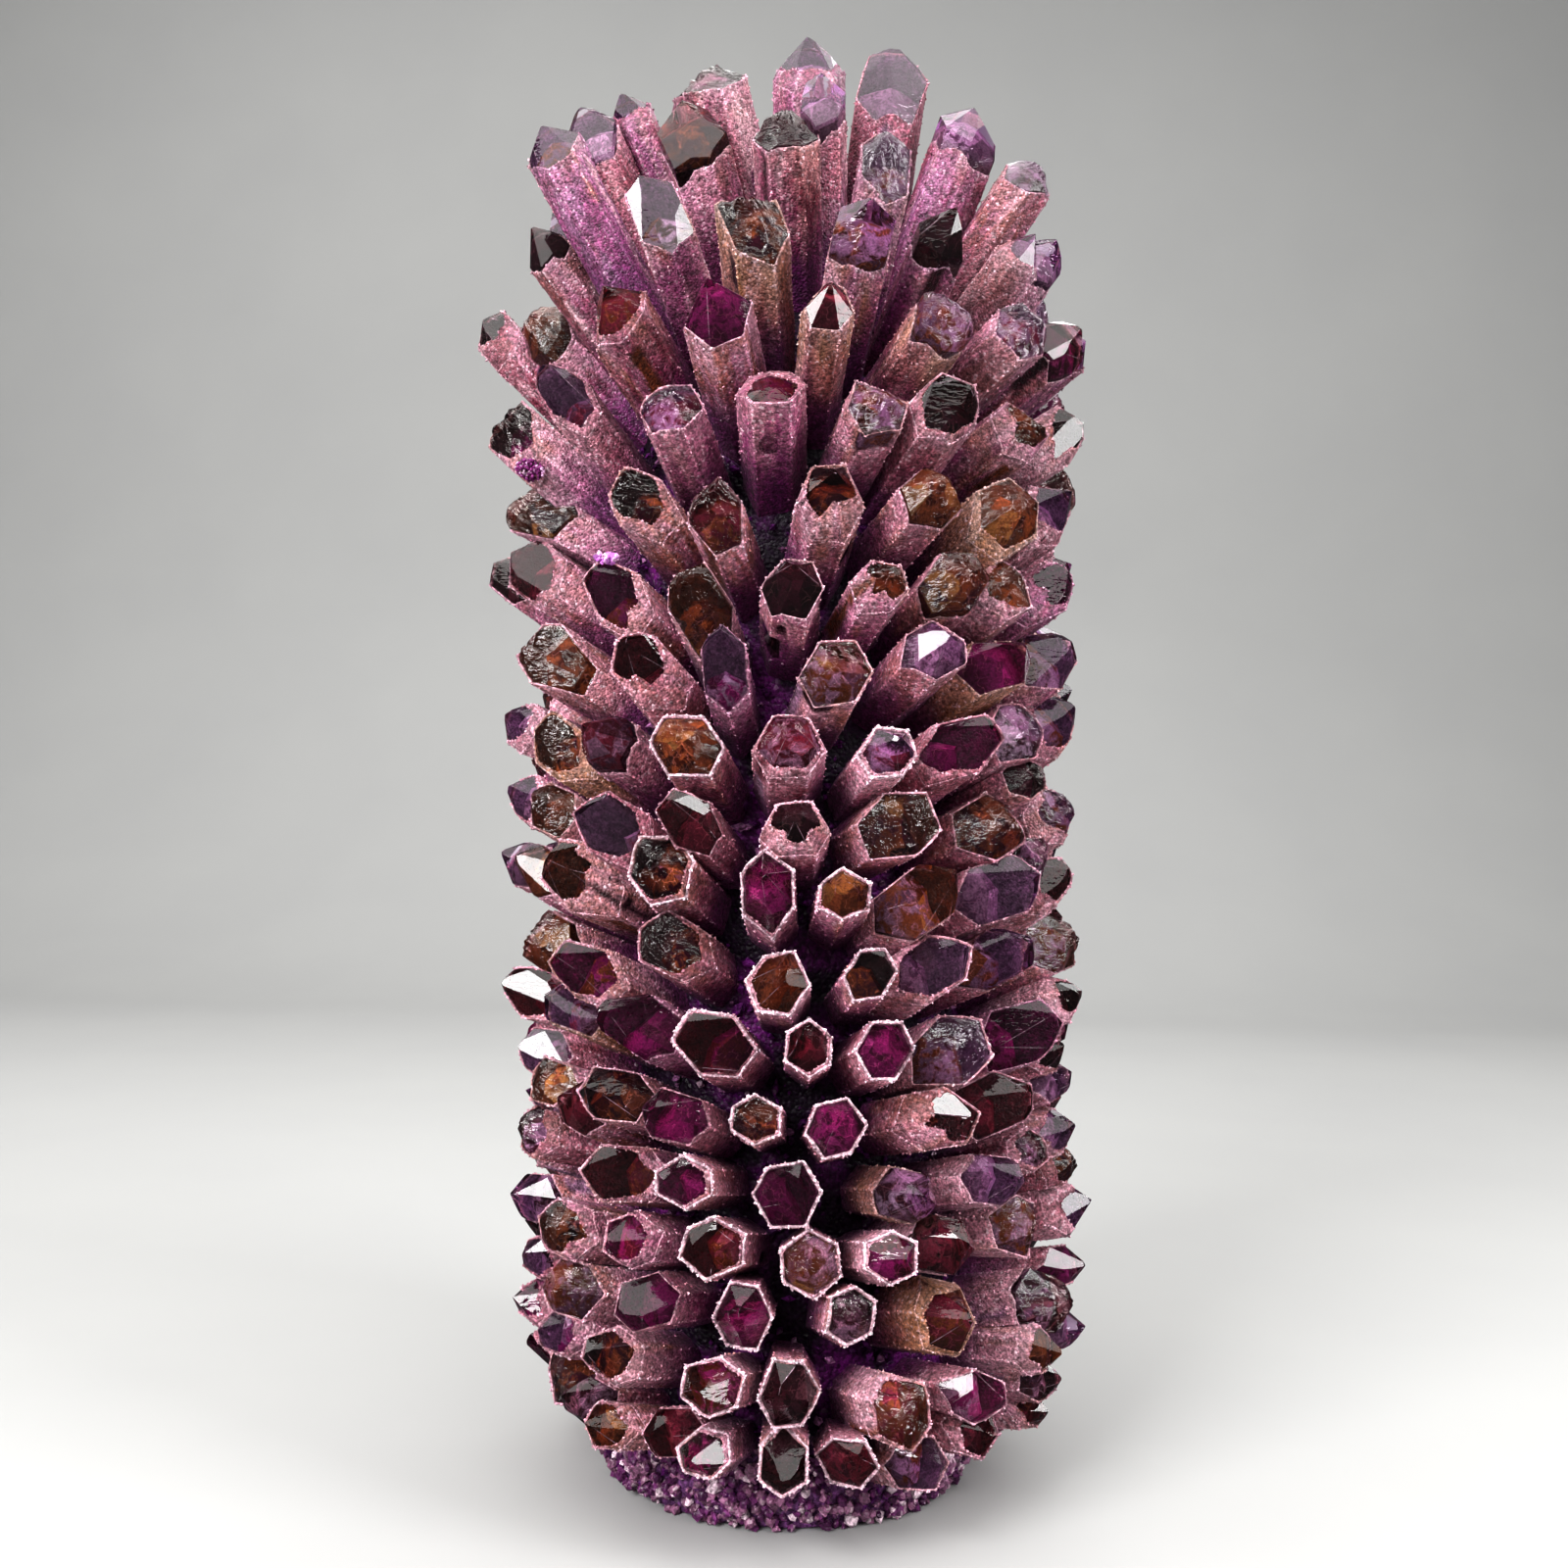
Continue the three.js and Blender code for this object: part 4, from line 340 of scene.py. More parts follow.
    (61.1, 64.1, 265, 44.9, 20.7, 21.3, 36, 45, 1.09, 0.62, 0.56, 37, "r", "ma", "p"),
    (-87.2, 21.6, 272.1, 163.5, 25.8, 17.7, 39, 10, 0.88, 0.6, 0.41, 41, "r", "a", "s"),
    (10, 91.3, 273.1, 82.6, 25.3, 22.5, 41, 4, 0.93, 0.52, 0.18, 47, "c", "a", "p"),
    (-36.7, 84.1, 280.7, 115.2, 27.3, 19.5, 41.5, 18, 1.03, 0.66, 0.63, 351, "r", "mp", "s"),
    (83.3, -19.8, 280.2, -11.9, 28.2, 15.6, 35, 7, 0.97, 0.49, 0.25, 82, "c", "wm", "p"),
    (78.8, 44.4, 285.5, 28.3, 26.3, 17.2, 39.5, 59, 0.9, 0.56, 0.29, 101, "c", "ma", "g"),
    (37.9, 80.4, 286.3, 62.9, 26.9, 19.4, 38, 33, 0.91, 0.59, 0.7, 0, "c", "a", "p"),
    (-79.1, 46.2, 287.2, 149.4, 28.2, 19.5, 41.5, 35, 1.09, 0.64, 0.21, 162, "r", "w", "v"),
    (-11.1, 90.9, 294.9, 96, 27.3, 20.3, 41.5, 43, 0.87, 0.47, 0.21, 123, "c", "a", "v"),
    (85.1, 10.9, 294.7, 7.8, 26.5, 22.6, 34.5, 10, 1.1, 0.46, 0.16, 109, "r", "p", "m"),
    (-64, 64.1, 297.2, 128.5, 25.8, 16.7, 40, 48, 0.99, 0.65, 0.31, 101, "r", "w", "g"),
    (-89.8, 15.5, 301.4, 171.1, 28.9, 19.4, 41.5, 43, 0.88, 0.7, 0.52, 88, "r", "wk", "g"),
    (62.7, 63.3, 301.9, 44.1, 32.1, 23.7, 40.5, 36, 0.92, 0.7, 0.19, 45, "r", "k", "p"),
    (12.8, 88.9, 306.9, 78.2, 27.8, 20.5, 39.5, 10, 1.07, 0.47, 0.14, 63, "c", "g", "p"),
    (-41.9, 79.8, 311.4, 119.2, 29.9, 19.5, 40.5, 25, 0.86, 0.65, 0.24, 110, "r", "k", "p"),
    (85.7, -9.9, 312.4, -8.1, 35.1, 20.1, 38.5, 25, 0.99, 0.58, 0.67, 34, "r", "mk", "g"),
    (-81.4, 41.9, 317.3, 152.3, 36.2, 22.8, 45.5, 14, 0.94, 0.58, 0.27, 116, "c", "w", "p"),
    (82.5, 34.5, 316.5, 22.9, 27.6, 17.1, 39, 19, 1.04, 0.53, 0.19, 118, "r", "ma", "p"),
    (42.1, 78, 323, 62.3, 29.6, 19.8, 39, 22, 0.89, 0.48, 0.19, 128, "c", "ma", "v"),
    (-62.1, 63.9, 324.1, 131.2, 31.3, 21.5, 40, 56, 0.92, 0.46, 0.19, 149, "c", "a", "p"),
    (-13.8, 89.7, 329.2, 101.8, 32.2, 19.2, 42.5, 27, 1.13, 0.52, 0.21, 130, "r", "w", "s"),
    (-84.1, 6.6, 332.8, -180, 37, 18.5, 38.5, 37, 1.06, 0.61, 0.59, 90, "r", "wm", "g"),
    (66.8, 58.9, 337.5, 45.2, 36.3, 20.4, 44, 12, 1.01, 0.45, 0.2, 67, "c", "p", "v"),
    (16.1, 86.1, 337.6, 77.8, 41.8, 18.3, 44.5, 50, 0.93, 0.46, 0.19, 102, "r", "wk", "g"),
    (85.2, 4.1, 340.6, 3.3, 38.2, 21.5, 41.5, 38, 0.9, 0.58, 0.29, 359, "r", "p", "m"),
    (-40.5, 79.5, 339.6, 118.9, 37, 20.8, 45, 21, 0.99, 0.52, 0.18, 62, "c", "wm", "p"),
    (-78.5, 36.7, 345.3, 154.1, 38.8, 19.9, 44.5, 35, 0.95, 0.61, 0.69, 143, "c", "ma", "p"),
    (78.9, 34.6, 358, 28.2, 39.1, 21, 47, 8, 0.92, 0.63, 0.32, 108, "r", "g", "p"),
    (39.7, 74.3, 356.7, 59.5, 44.1, 19.2, 47, 1, 0.94, 0.5, 0.08, 47, "r", "k", "m"),
    (-61.8, 59, 358.3, 132, 40.8, 16.4, 47, 20, 1.08, 0.5, 0.47, 72, "c", "ka", "m"),
    (-16.5, 86, 359.2, 107.1, 44.6, 17.7, 52, 26, 1.03, 0.62, 0.68, 136, "r", "m", "p"),
    (-84.5, 15.2, 363.7, 171.2, 39.6, 17.9, 48, 50, 1.06, 0.49, 0.44, 103, "c", "wm", "s"),
    (11.8, 83.9, 366.9, 85.4, 47.4, 19, 52, 46, 0.95, 0.65, 0.61, 88, "r", "kw", "m"),
    (59.4, 55.4, 369.1, 39.6, 42.6, 22.3, 45.5, 31, 1.01, 0.57, 0.07, 106, "c", "wm", "p"),
    (78.6, 4.2, 370.6, 7, 49.2, 16.8, 46.5, 31, 1.04, 0.62, 0.58, 65, "r", "w", "m"),
    (-40.6, 68.7, 373.9, 122.2, 48, 16.9, 48, 32, 1, 0.54, 0.48, 74, "c", "g", "v"),
    (-67.8, 39.7, 375.9, 152.5, 46.9, 17.1, 46.5, 14, 0.88, 0.61, 0.4, 81, "c", "wm", "g"),
    (66.7, 31.8, 388.1, 22.3, 51, 19.9, 52, 38, 1.07, 0.57, 0.25, 144, "c", "k", "p"),
    (-11.8, 69.5, 390.5, 99.3, 50.8, 20.9, 51.5, 18, 1.12, 0.66, 0.59, 44, "r", "m", "m"),
    (-68.8, 1.3, 389.4, 179.3, 50, 20.2, 49.5, 26, 1.09, 0.51, 0.25, 89, "r", "mk", "p"),
    (17.4, 68.7, 391.9, 77.4, 53.3, 20.8, 53, 53, 0.94, 0.64, 0.28, 122, "c", "k", "m"),
    (43.1, 48.8, 398.6, 49.2, 49.5, 16.1, 53.5, 0, 1.07, 0.59, 0.34, 44, "r", "mp", "p"),
    (-38.7, 53.4, 398.9, 126.1, 52.1, 20.7, 54.5, 17, 1.03, 0.57, 0.72, 134, "c", "wm", "p"),
    (-54.8, 28.6, 403, 155.9, 57.6, 22.6, 55.5, 59, 0.89, 0.56, 0.09, 139, "r", "g", "m"),
    (50.6, 15.2, 413.6, 14.7, 58.8, 19.2, 58, 27, 0.87, 0.43, 0.24, 44, "r", "m", "m"),
    (-6.2, 54.5, 413.7, 95.4, 61.7, 16.6, 59, 51, 0.9, 0.47, 0.22, 144, "c", "wm", "m"),
    (-44.9, -0.3, 416.7, -174.8, 62.1, 20.2, 58.5, 34, 0.86, 0.44, 0.23, 150, "c", "ma", "m"),
    (25, 36.8, 423.3, 52.8, 69.4, 20, 63, 28, 1.11, 0.61, 0.62, 7, "c", "wk", "p"),
    (-29.3, 33.3, 421.9, 132.8, 65.8, 17.6, 62.5, 50, 1.05, 0.55, 0.16, 348, "c", "wk", "p"),
    (-3.6, 28.4, 436.2, 80.2, 72, 13.6, 73.5, 59, 1.14, 0.53, 0.2, 120, "r", "w", "v"),
]


def wobble(i, k):
    s = math.sin(i * 127.1 + k * 311.7 + 0.5) * 43758.5453
    return 2 * (s - math.floor(s)) - 1


# ---------------------------------------------------------------- noise
def lattice(ix, iy, iz, seed):
    h = (ix * 374761393 + iy * 668265263 + iz * 1440662683 + seed * 1274126177) & 0xFFFFFFFF
    h = ((h ^ (h >> 13)) * 1103515245) & 0xFFFFFFFF
    h = ((h ^ (h >> 16)) * 668265263) & 0xFFFFFFFF
    return ((h ^ (h >> 15)) & 0xFFFFFF) / float(0xFFFFFF) * 2 - 1


def noise(p, size, seed=0):
    """Smooth noise from -1 to 1 with features of this size, at points p (n, 3)."""
    q = np.asarray(p, float) / size + 1000.0
    i = np.floor(q).astype(np.int64)
    f = q - i
    f = f * f * (3 - 2 * f)
    out = 0.0
    for dx in (0, 1):
        wx = f[..., 0] if dx else 1 - f[..., 0]
        for dy in (0, 1):
            wy = f[..., 1] if dy else 1 - f[..., 1]
            for dz in (0, 1):
                wz = f[..., 2] if dz else 1 - f[..., 2]
                out = out + wx * wy * wz * lattice(i[..., 0] + dx, i[..., 1] + dy, i[..., 2] + dz, seed)
    return out


def fbm(p, size, seed=0, octaves=3):
    total, weight, reach = 0.0, 1.0, 0.0
    for o in range(octaves):
        total = total + weight * noise(p, size / 2**o, seed + 17 * o)
        reach += weight
        weight *= 0.5
    return total / reach


def smooth(a, b, x):
    t = np.clip((x - a) / (b - a), 0, 1)
    return t * t * (3 - 2 * t)


def mix(a, b, t):
    t = np.asarray(t)[..., None]
    return np.asarray(a) * (1 - t) + np.asarray(b) * t


# ---------------------------------------------------------------- mesh building
class Batch:
    """Points, faces and colours of one piece, gathered in mm."""

    def __init__(self):
        self.points, self.colours, self.seconds, self.flows = [], [], [], []
        self.loops, self.sizes, self.flat, self.count = [], [], [], 0

    def add(self, points, faces, colours, flat=False, second=None, flow=None):
        points = np.asarray(points, float)
        self.seconds.append(np.broadcast_to(np.asarray(colours if second is None else second, float), (len(points), 3)))
        self.flows.append(points if flow is None else np.asarray(flow, float))
        if isinstance(faces, np.ndarray):
            loops, sizes = faces.ravel(), np.full(len(faces), faces.shape[1])
        else:
            loops, sizes = np.concatenate([np.asarray(f) for f in faces]), np.array([len(f) for f in faces])
        self.points.append(points)
        self.colours.append(np.broadcast_to(np.asarray(colours, float), (len(points), 3)))
        self.loops.append(loops + self.count)
        self.sizes.append(sizes)
        self.flat.append(np.full(len(sizes), flat))
        self.count += len(points)

    def triangles(self):
        return int(sum((s - 2).sum() for s in self.sizes))

    def piece(self, name, material, slot=None):
        mesh = bpy.data.meshes.new(name)
        points = np.concatenate(self.points).astype(np.float32) / 1000
        loops, sizes = np.concatenate(self.loops), np.concatenate(self.sizes)
        mesh.vertices.add(len(points))
        mesh.vertices.foreach_set("co", points.ravel())
        mesh.loops.add(len(loops))
        mesh.loops.foreach_set("vertex_index", loops.astype(np.int32))
        mesh.polygons.add(len(sizes))
        mesh.polygons.foreach_set("loop_start", np.concatenate([[0], np.cumsum(sizes)[:-1]]).astype(np.int32))
        mesh.update(calc_edges=True)
        mesh.polygons.foreach_set("use_smooth", ~np.concatenate(self.flat))
        for label, values in (("tint", self.colours), ("tint2", self.seconds)):
            rgba = np.concatenate([np.clip(np.concatenate(values), 0, 1), np.ones((len(points), 1))], 1)
            layer = mesh.color_attributes.new(label, "FLOAT_COLOR", "POINT")
            layer.data.foreach_set("color", rgba.astype(np.float32).ravel())
        flow = mesh.attributes.new("flow", "FLOAT_VECTOR", "POINT")
        flow.data.foreach_set("vector", np.concatenate(self.flows).astype(np.float32).ravel())
        mesh.materials.append(material)
        mesh.update()
        ob = bpy.data.objects.new(name, mesh)
        bpy.context.scene.collection.objects.link(ob)
        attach(ob, "root")
        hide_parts("quartz_cluster")
        return ob


def ring_faces(rings, around):
    """Quads between consecutive rings of points, each ring `around` long, wound to face out when rings run from top to bottom of a counter-clockwise outline."""
    a = np.arange(around)
    b = (a + 1) % around
    rows = np.arange(rings - 1)[:, None] * around
    return np.stack([rows + a, rows + around + a, rows + around + b, rows + b], -1).reshape(-1, 4)


def turned(n, rng):
    """n random rotation matrices."""
    q = rng.normal(size=(n, 4))
    q /= np.linalg.norm(q, axis=1, keepdims=True)
    w, x, y, z = q.T
    return np.stack(
        [1 - 2 * (y * y + z * z), 2 * (x * y - z * w), 2 * (x * z + y * w), 2 * (x * y + z * w), 1 - 2 * (x * x + z * z), 2 * (y * z - x * w), 2 * (x * z - y * w), 2 * (y * z + x * w), 1 - 2 * (x * x + y * y)],
        -1,
    ).reshape(-1, 3, 3)


TETRAHEDRON = (np.array([(1, 1, 1), (1, -1, -1), (-1, 1, -1), (-1, -1, 1)], float) * 0.75, np.array([(0, 1, 2), (0, 3, 1), (0, 2, 3), (1, 3, 2)]))
OCTAHEDRON = (np.array([(1, 0, 0), (-1, 0, 0), (0, 1, 0), (0, -1, 0), (0, 0, 1), (0, 0, -1)], float), np.array([(0, 2, 4), (2, 1, 4), (1, 3, 4), (3, 0, 4), (2, 0, 5), (1, 2, 5), (3, 1, 5), (0, 3, 5)]))
_a = np.radians(np.arange(6) * 60.0)
NEEDLE = (
    np.concatenate([np.stack([np.cos(_a), np.sin(_a), np.zeros(6)], 1), [(0, 0, 1.5), (0, 0, -1.5)]]),
    np.array([(k, (k + 1) % 6, 6) for k in range(6)] + [((k + 1) % 6, k, 7) for k in range(6)]),
)
_g = (1 + 5**0.5) / 2
_ico = np.array([(-1, _g, 0), (1, _g, 0), (-1, -_g, 0), (1, -_g, 0), (0, -1, _g), (0, 1, _g), (0, -1, -_g), (0, 1, -_g), (_g, 0, -1), (_g, 0, 1), (-_g, 0, -1), (-_g, 0, 1)], float)
LUMP = (
    _ico / np.linalg.norm(_ico[0]),
    np.array([(0, 11, 5), (0, 5, 1), (0, 1, 7), (0, 7, 10), (0, 10, 11), (1, 5, 9), (5, 11, 4), (11, 10, 2), (10, 7, 6), (7, 1, 8), (3, 9, 4), (3, 4, 2), (3, 2, 6), (3, 6, 8), (3, 8, 9), (4, 9, 5), (2, 4, 11), (6, 2, 10), (8, 6, 7), (9, 8, 1)]),
)


def scatter(batch, shape, at, size, colours, rng, jitter=0.2, stretch=None, floor=None):
    """Small solids of one shape at these places, each turned its own way."""
    base, faces = shape
    n, m = len(at), len(base)
    local = base[None] * (1 + jitter * rng.uniform(-1, 1, (n, m, 1)))
    if stretch is not None:
        local = local * np.stack([np.ones(n), np.ones(n), stretch], 1)[:, None]
    world = np.einsum("nij,nmj->nmi", turned(n, rng), local) * np.asarray(size)[:, None, None] + at[:, None]
    if floor is not None:
        world[..., 2] = np.maximum(world[..., 2], floor)
    index = faces[None] + (np.arange(n) * m)[:, None, None]
    batch.add(world.reshape(-1, 3), index.reshape(-1, 3), np.repeat(colours, m, 0), flat=True)


# ---------------------------------------------------------------- one point of the cluster
def clip_polygon(poly, a, b, c):
    """The part of a convex outline where a + b p + c q is not below 0."""
    out = []
    for n in range(len(poly)):
        P, Q = poly[n], poly[(n + 1) % len(poly)]
        fp, fq = a + b * P[0] + c * P[1], a + b * Q[0] + c * Q[1]
        if fp >= 0:
            out.append(P)
        if (fp >= 0) != (fq >= 0):
            t = fp / (fp - fq)
            out.append((P[0] + t * (Q[0] - P[0]), P[1] + t * (Q[1] - P[1])))
    return out


def cap_body(outline, planes, root, shrink):
    """A closed convex prism under the highest of the planes: points (p, q, depth), faces, and how many of the faces are its top."""
    points, faces = [], []

    def point(p, q, d):
        for n, (x, y, z) in enumerate(points):
            if abs(x - p) < 2e-3 and abs(y - q) < 2e-3 and abs(z - d) < 2e-2:
                return n
        points.append((p, q, d))
        return len(points) - 1

    outline = [tuple(c) for c in outline]
    for c in outline:
        point(c[0], c[1], max(f[0] + f[1] * c[0] + f[2] * c[1] for f in planes))
    for j, f in enumerate(planes):
        poly = outline
        for m, g in enumerate(planes):
            if m != j and len(poly) > 2:
                poly = clip_polygon(poly, f[0] - g[0], f[1] - g[1], f[2] - g[2])
        if len(poly) < 3:
            continue
        ids = []
        for p, q in poly:
            n = point(p, q, f[0] + f[1] * p + f[2] * q)
            if n not in ids:
                ids.append(n)
        if len(ids) > 2:
            faces.append(ids)
    tops = len(faces)
    ring = len(points)
    xy = np.array([(p, q) for p, q, _ in points])
    points += [(p * shrink, q * shrink, root) for p, q in outline]
    for k in range(6):
        P, Q = np.array(outline[k]), np.array(outline[(k + 1) % 6])
        along = Q - P
        length = np.hypot(*along)
        along = along / length
        t = (xy - P) @ along
        off = np.abs((xy - P) @ np.array([-along[1], along[0]]))
        chain = sorted((n for n in range(len(xy)) if off[n] < 3e-3 and -1e-3 <= t[n] <= length + 1e-3), key=lambda n: t[n])
        faces.append([chain[0], ring + k, ring + (k + 1) % 6] + chain[:0:-1])
    faces.append([ring + k for k in range(5, -1, -1)])
    return np.array(points), faces, tops


class Point:
    """Frame, outline and end faces of one crystal."""

    def __init__(self, i, row):
        x, y, z, az, el, self.width, self.length, turn_deg, ratio, self.cap, skew, way, self.style, self.tint, self.coat = row
        self.index, self.rng = i, np.random.default_rng(9000 + i)
        a, e = math.radians(az), math.radians(el)
        self.tip = np.array([x, y, z], float)
        self.axis = np.array([math.cos(a) * math.cos(e), math.sin(a) * math.cos(e), math.sin(e)])
        self.side = np.array([-math.sin(a), math.cos(a), 0.0])
        self.up = np.cross(self.axis, self.side)
        self.radius = self.width / 2
        self.apex = np.array([math.cos(math.radians(way)), math.sin(math.radians(way))]) * skew * self.radius
        self.deep = self.length + ROOT_DEPTH
        corners = []
        for k in range(6):
            t = math.radians(turn_deg + 60 * k + 5 * wobble(i, k))
            r = self.radius * (1 + 0.06 * wobble(i, k + 6))
            corners.append((r * math.cos(t) / math.sqrt(ratio), r * math.sin(t) * math.sqrt(ratio)))
        self.corners = np.array(corners)
        reach = np.hypot(*(self.corners - self.apex).T) / self.radius
        toward = np.array([math.cos(math.radians(way)), math.sin(math.radians(way))])
        beyond = np.maximum(0, (self.apex - self.corners) @ toward) / self.radius
        self.down = self.cap * self.width * (reach + (beyond - reach) * CHISEL * min(1.0, skew / 0.7))
        self.mean_down = float(self.down.mean())
        self.hull = []
        for k in range(6):
            P, Q = self.corners[k] * self.taper(self.down[k]), self.corners[(k + 1) % 6] * self.taper(self.down[(k + 1) % 6])
            A = np.array([[1, *self.apex], [1, *P], [1, *Q]])
            self.hull.append(np.linalg.solve(A, [0.0, self.down[k], self.down[(k + 1) % 6]]))

    def taper(self, d):
        return 1 - (1 - ROOT_TAPER) * (np.asarray(d) / self.deep)

    def girth(self, d):
        """Width of the coated point at this depth, over its nominal width: almost a true prism below the shoulder."""
        d = np.asarray(d, float)
        at = float(self.taper(self.mean_down))
        below = at * (1 - 0.05 * (d - self.mean_down) / (self.deep - self.mean_down))
        return np.where(d < self.mean_down, self.taper(d), below)

    def world(self, local):
        local = np.asarray(local, float)
        return self.tip + (local[..., 0:1] - self.apex[0]) * self.side + (local[..., 1:2] - self.apex[1]) * self.up - local[..., 2:3] * self.axis

    def inner(self, gap):
        """The outline at the shoulder, set in by a gap."""
        size = np.hypot(*self.corners.T)[:, None]
        return self.corners * float(self.taper(self.mean_down)) * (1 - gap / size)

    def ends(self):
        """The end faces: the hull's six, some of them cut back so that a few large faces rule."""
        rng, w = self.rng, self.width
        planes = [h.copy() for h in self.hull]
        first = int(rng.integers(2))
        for k in range(6):
            planes[k][0] += 0.25 + (rng.uniform(0.0, 0.04) * w if k % 2 == first else 0.0)
        big = int(rng.integers(3)) * 2 + first
        planes[big][0] += rng.uniform(0.0, 0.07) * w
        if self.style[0] == "r":
            for _ in range(int(rng.integers(2, 5))):
                t, s = rng.uniform(0, 2 * math.pi), rng.uniform(0.1, 0.75)
                planes.append(np.array([rng.uniform(0.10, 0.30) * w, s * math.cos(t), s * math.sin(t)]))
        elif rng.random() < 0.70:
            # the apex gives way to a short sloping edge
            t = math.atan2(-self.apex[1], -self.apex[0]) + rng.uniform(-1.2, 1.2)
            s = rng.uniform(0.2, 0.65)
            lean = np.array([s * math.cos(t), s * math.sin(t)])
            planes.append(np.array([0.25 + rng.uniform(0.02, 0.06) * w - float(lean @ self.apex), *lean]))
        if self.style[0] != "r":
            # small faces where the sides of the end meet the prism
            own = np.random.default_rng(7000 + self.index)
            for _ in range(int(own.integers(1, 3))):
                t = math.atan2(self.apex[1], self.apex[0]) + own.choice([-1, 1]) * own.uniform(0.9, 2.4)
                way = np.array([math.cos(t), math.sin(t)])
                at = way * own.uniform(0.35, 0.62) * self.radius
                depths = [p[0] + p[1] * at[0] + p[2] * at[1] for p in planes]
                slope = planes[int(np.argmax(depths))][1:] + way * own.uniform(0.35, 0.95)
                planes.append(np.array([max(depths) - float(slope @ at), *slope]))
        return planes


def top_of(planes, xy):
    f = np.array(planes)
    return (f[:, 0:1] + f[:, 1:2] * xy[None, :, 0] + f[:, 2:3] * xy[None, :, 1]).max(0)


COATS = {"p": (0.410, 0.178, 0.225), "m": (0.28, 0.090, 0.130), "g": (0.35, 0.178, 0.130), "v": (0.25, 0.080, 0.145), "s": (0.42, 0.182, 0.180)}
SECOND = {"p": (0.34, 0.12, 0.20), "m": (0.42, 0.15, 0.20), "g": (0.33, 0.13, 0.10), "v": (0.25, 0.05, 0.15), "s": (0.38, 0.12, 0.14)}
PATCH = {"p": ((0.16, 0.024, 0.042), (0.48, 0.27, 0.33), (0.20, 0.030, 0.105), (0.24, 0.075, 0.040)), "m": ((0.12, 0.014, 0.035), (0.34, 0.16, 0.21), (0.15, 0.018, 0.030)), "g": ((0.26, 0.115, 0.03), (0.14, 0.038, 0.018)), "v": ((0.14, 0.010, 0.080), (0.36, 0.16, 0.27)), "s": ((0.19, 0.030, 0.038), (0.50, 0.26, 0.27), (0.26, 0.10, 0.035))}
# dark purple of the coat at its root: partly its own colour, partly painted shade where the roots crowd between the
# points
ROOT_PURPLE_AND_SHADE = np.array((0.088, 0.008, 0.074))
RIM_COLOUR = np.array((0.60, 0.44, 0.50))
SEALED = {  # main, dark and bright colour of what shows inside a tip
    "p": ((0.16, 0.009, 0.082), (0.050, 0.002, 0.022), (0.34, 0.050, 0.20)),
    "g": ((0.20, 0.013, 0.105), (0.080, 0.003, 0.036), (0.44, 0.090, 0.27)),
    "m": ((0.125, 0.013, 0.030), (0.036, 0.004, 0.009), (0.31, 0.085, 0.115)),
    "a": ((0.135, 0.034, 0.013), (0.040, 0.007, 0.004), (0.42, 0.20, 0.062)),
    "k": ((0.028, 0.004, 0.010), (0.007, 0.001, 0.002), (0.13, 0.045, 0.060)),
    "w": ((0.27, 0.14, 0.225), (0.10, 0.04, 0.08), (0.56, 0.42, 0.52)),
}
GLASS_OF = {"p": "violet", "w": "lilac", "g": "rose", "m": "maroon", "k": "maroon", "a": "amber"}
# holes broken through a coat: crystal | around (degrees), down from the tip, half width, length, depth, colour (the
# dark quartz under the coat, with painted shade of the hole in it)
HOLLOWS = {
    27: ((-97, 20.3, 1.9, 4.6, 3.0, (0.012, 0.004, 0.004)),),
    34: ((-134, 9.5, 2.8, 10.0, 2.4, (0.07, 0.02, 0.006)),),
    44: ((-92, 7.0, 4.0, 9.5, 3.4, (0.05, 0.012, 0.006)),),
    52: ((-143, 22.5, 3.4, 10.0, 4.2, (0.004, 0.001, 0.002)), (-112, 16.5, 1.4, 5.0, 1.6, (0.05, 0.006, 0.010))),
    60: ((-134, 5.0, 3.8, 9.0, 3.4, (0.10, 0.030, 0.006)),),
}
ALONG = np.array([0.0, 0.07, 0.29, 0.5, 0.71, 0.93])  # columns along each side of a prism, close to its corners
SIDE_STEPS, WALL_RINGS = len(ALONG), 17
COAT = 0.4  # how far the druse stands out from the prism
AROUND = 6 * SIDE_STEPS

glass = {k + end: Batch() for k in ("violet", "lilac", "rose", "maroon", "amber") for end in ("", "_broken")}
sealed = {k: Batch() for k in ("low", "middle", "high")}
coats = {}
grain_at, grain_size, grain_colour = [], [], []
dust_at, dust_size, dust_colour = [], [], []
MEASURED = 163

worn = Batch()
points = [Point(i, row) for i, row in enumerate(CRYSTALS)]


def sliver(batch, a, b, thick, outward, colour, rng):
    """A thin three-sided bar from a to b, uneven along its length."""
    along = (b - a) / np.linalg.norm(b - a)
    across = np.cross(along, outward)
    across /= np.linalg.norm(across)
    lift = np.cross(across, along)
    steps = np.linspace(0.04, 0.96, 5)
    size = thick * np.array([0.1, rng.uniform(0.5, 1.3), rng.uniform(0.3, 1.3), rng.uniform(0.5, 1.3), 0.1])
    rings = [[a + (b - a) * t + s * (across * math.cos(q) + lift * math.sin(q)) for q in (0.5, 2.6, 4.7)] for t, s in zip(steps, size)]
    pts = np.array([p for ring in rings for p in ring])
    faces = [np.array([3 * n + k, 3 * n + (k + 1) % 3, 3 * n + 3 + (k + 1) % 3, 3 * n + 3 + k])[::-1] for n in range(4) for k in range(3)]
    faces += [np.array([0, 1, 2]), np.array([14, 13, 12])]
    batch.add(pts, faces, colour, flat=True)


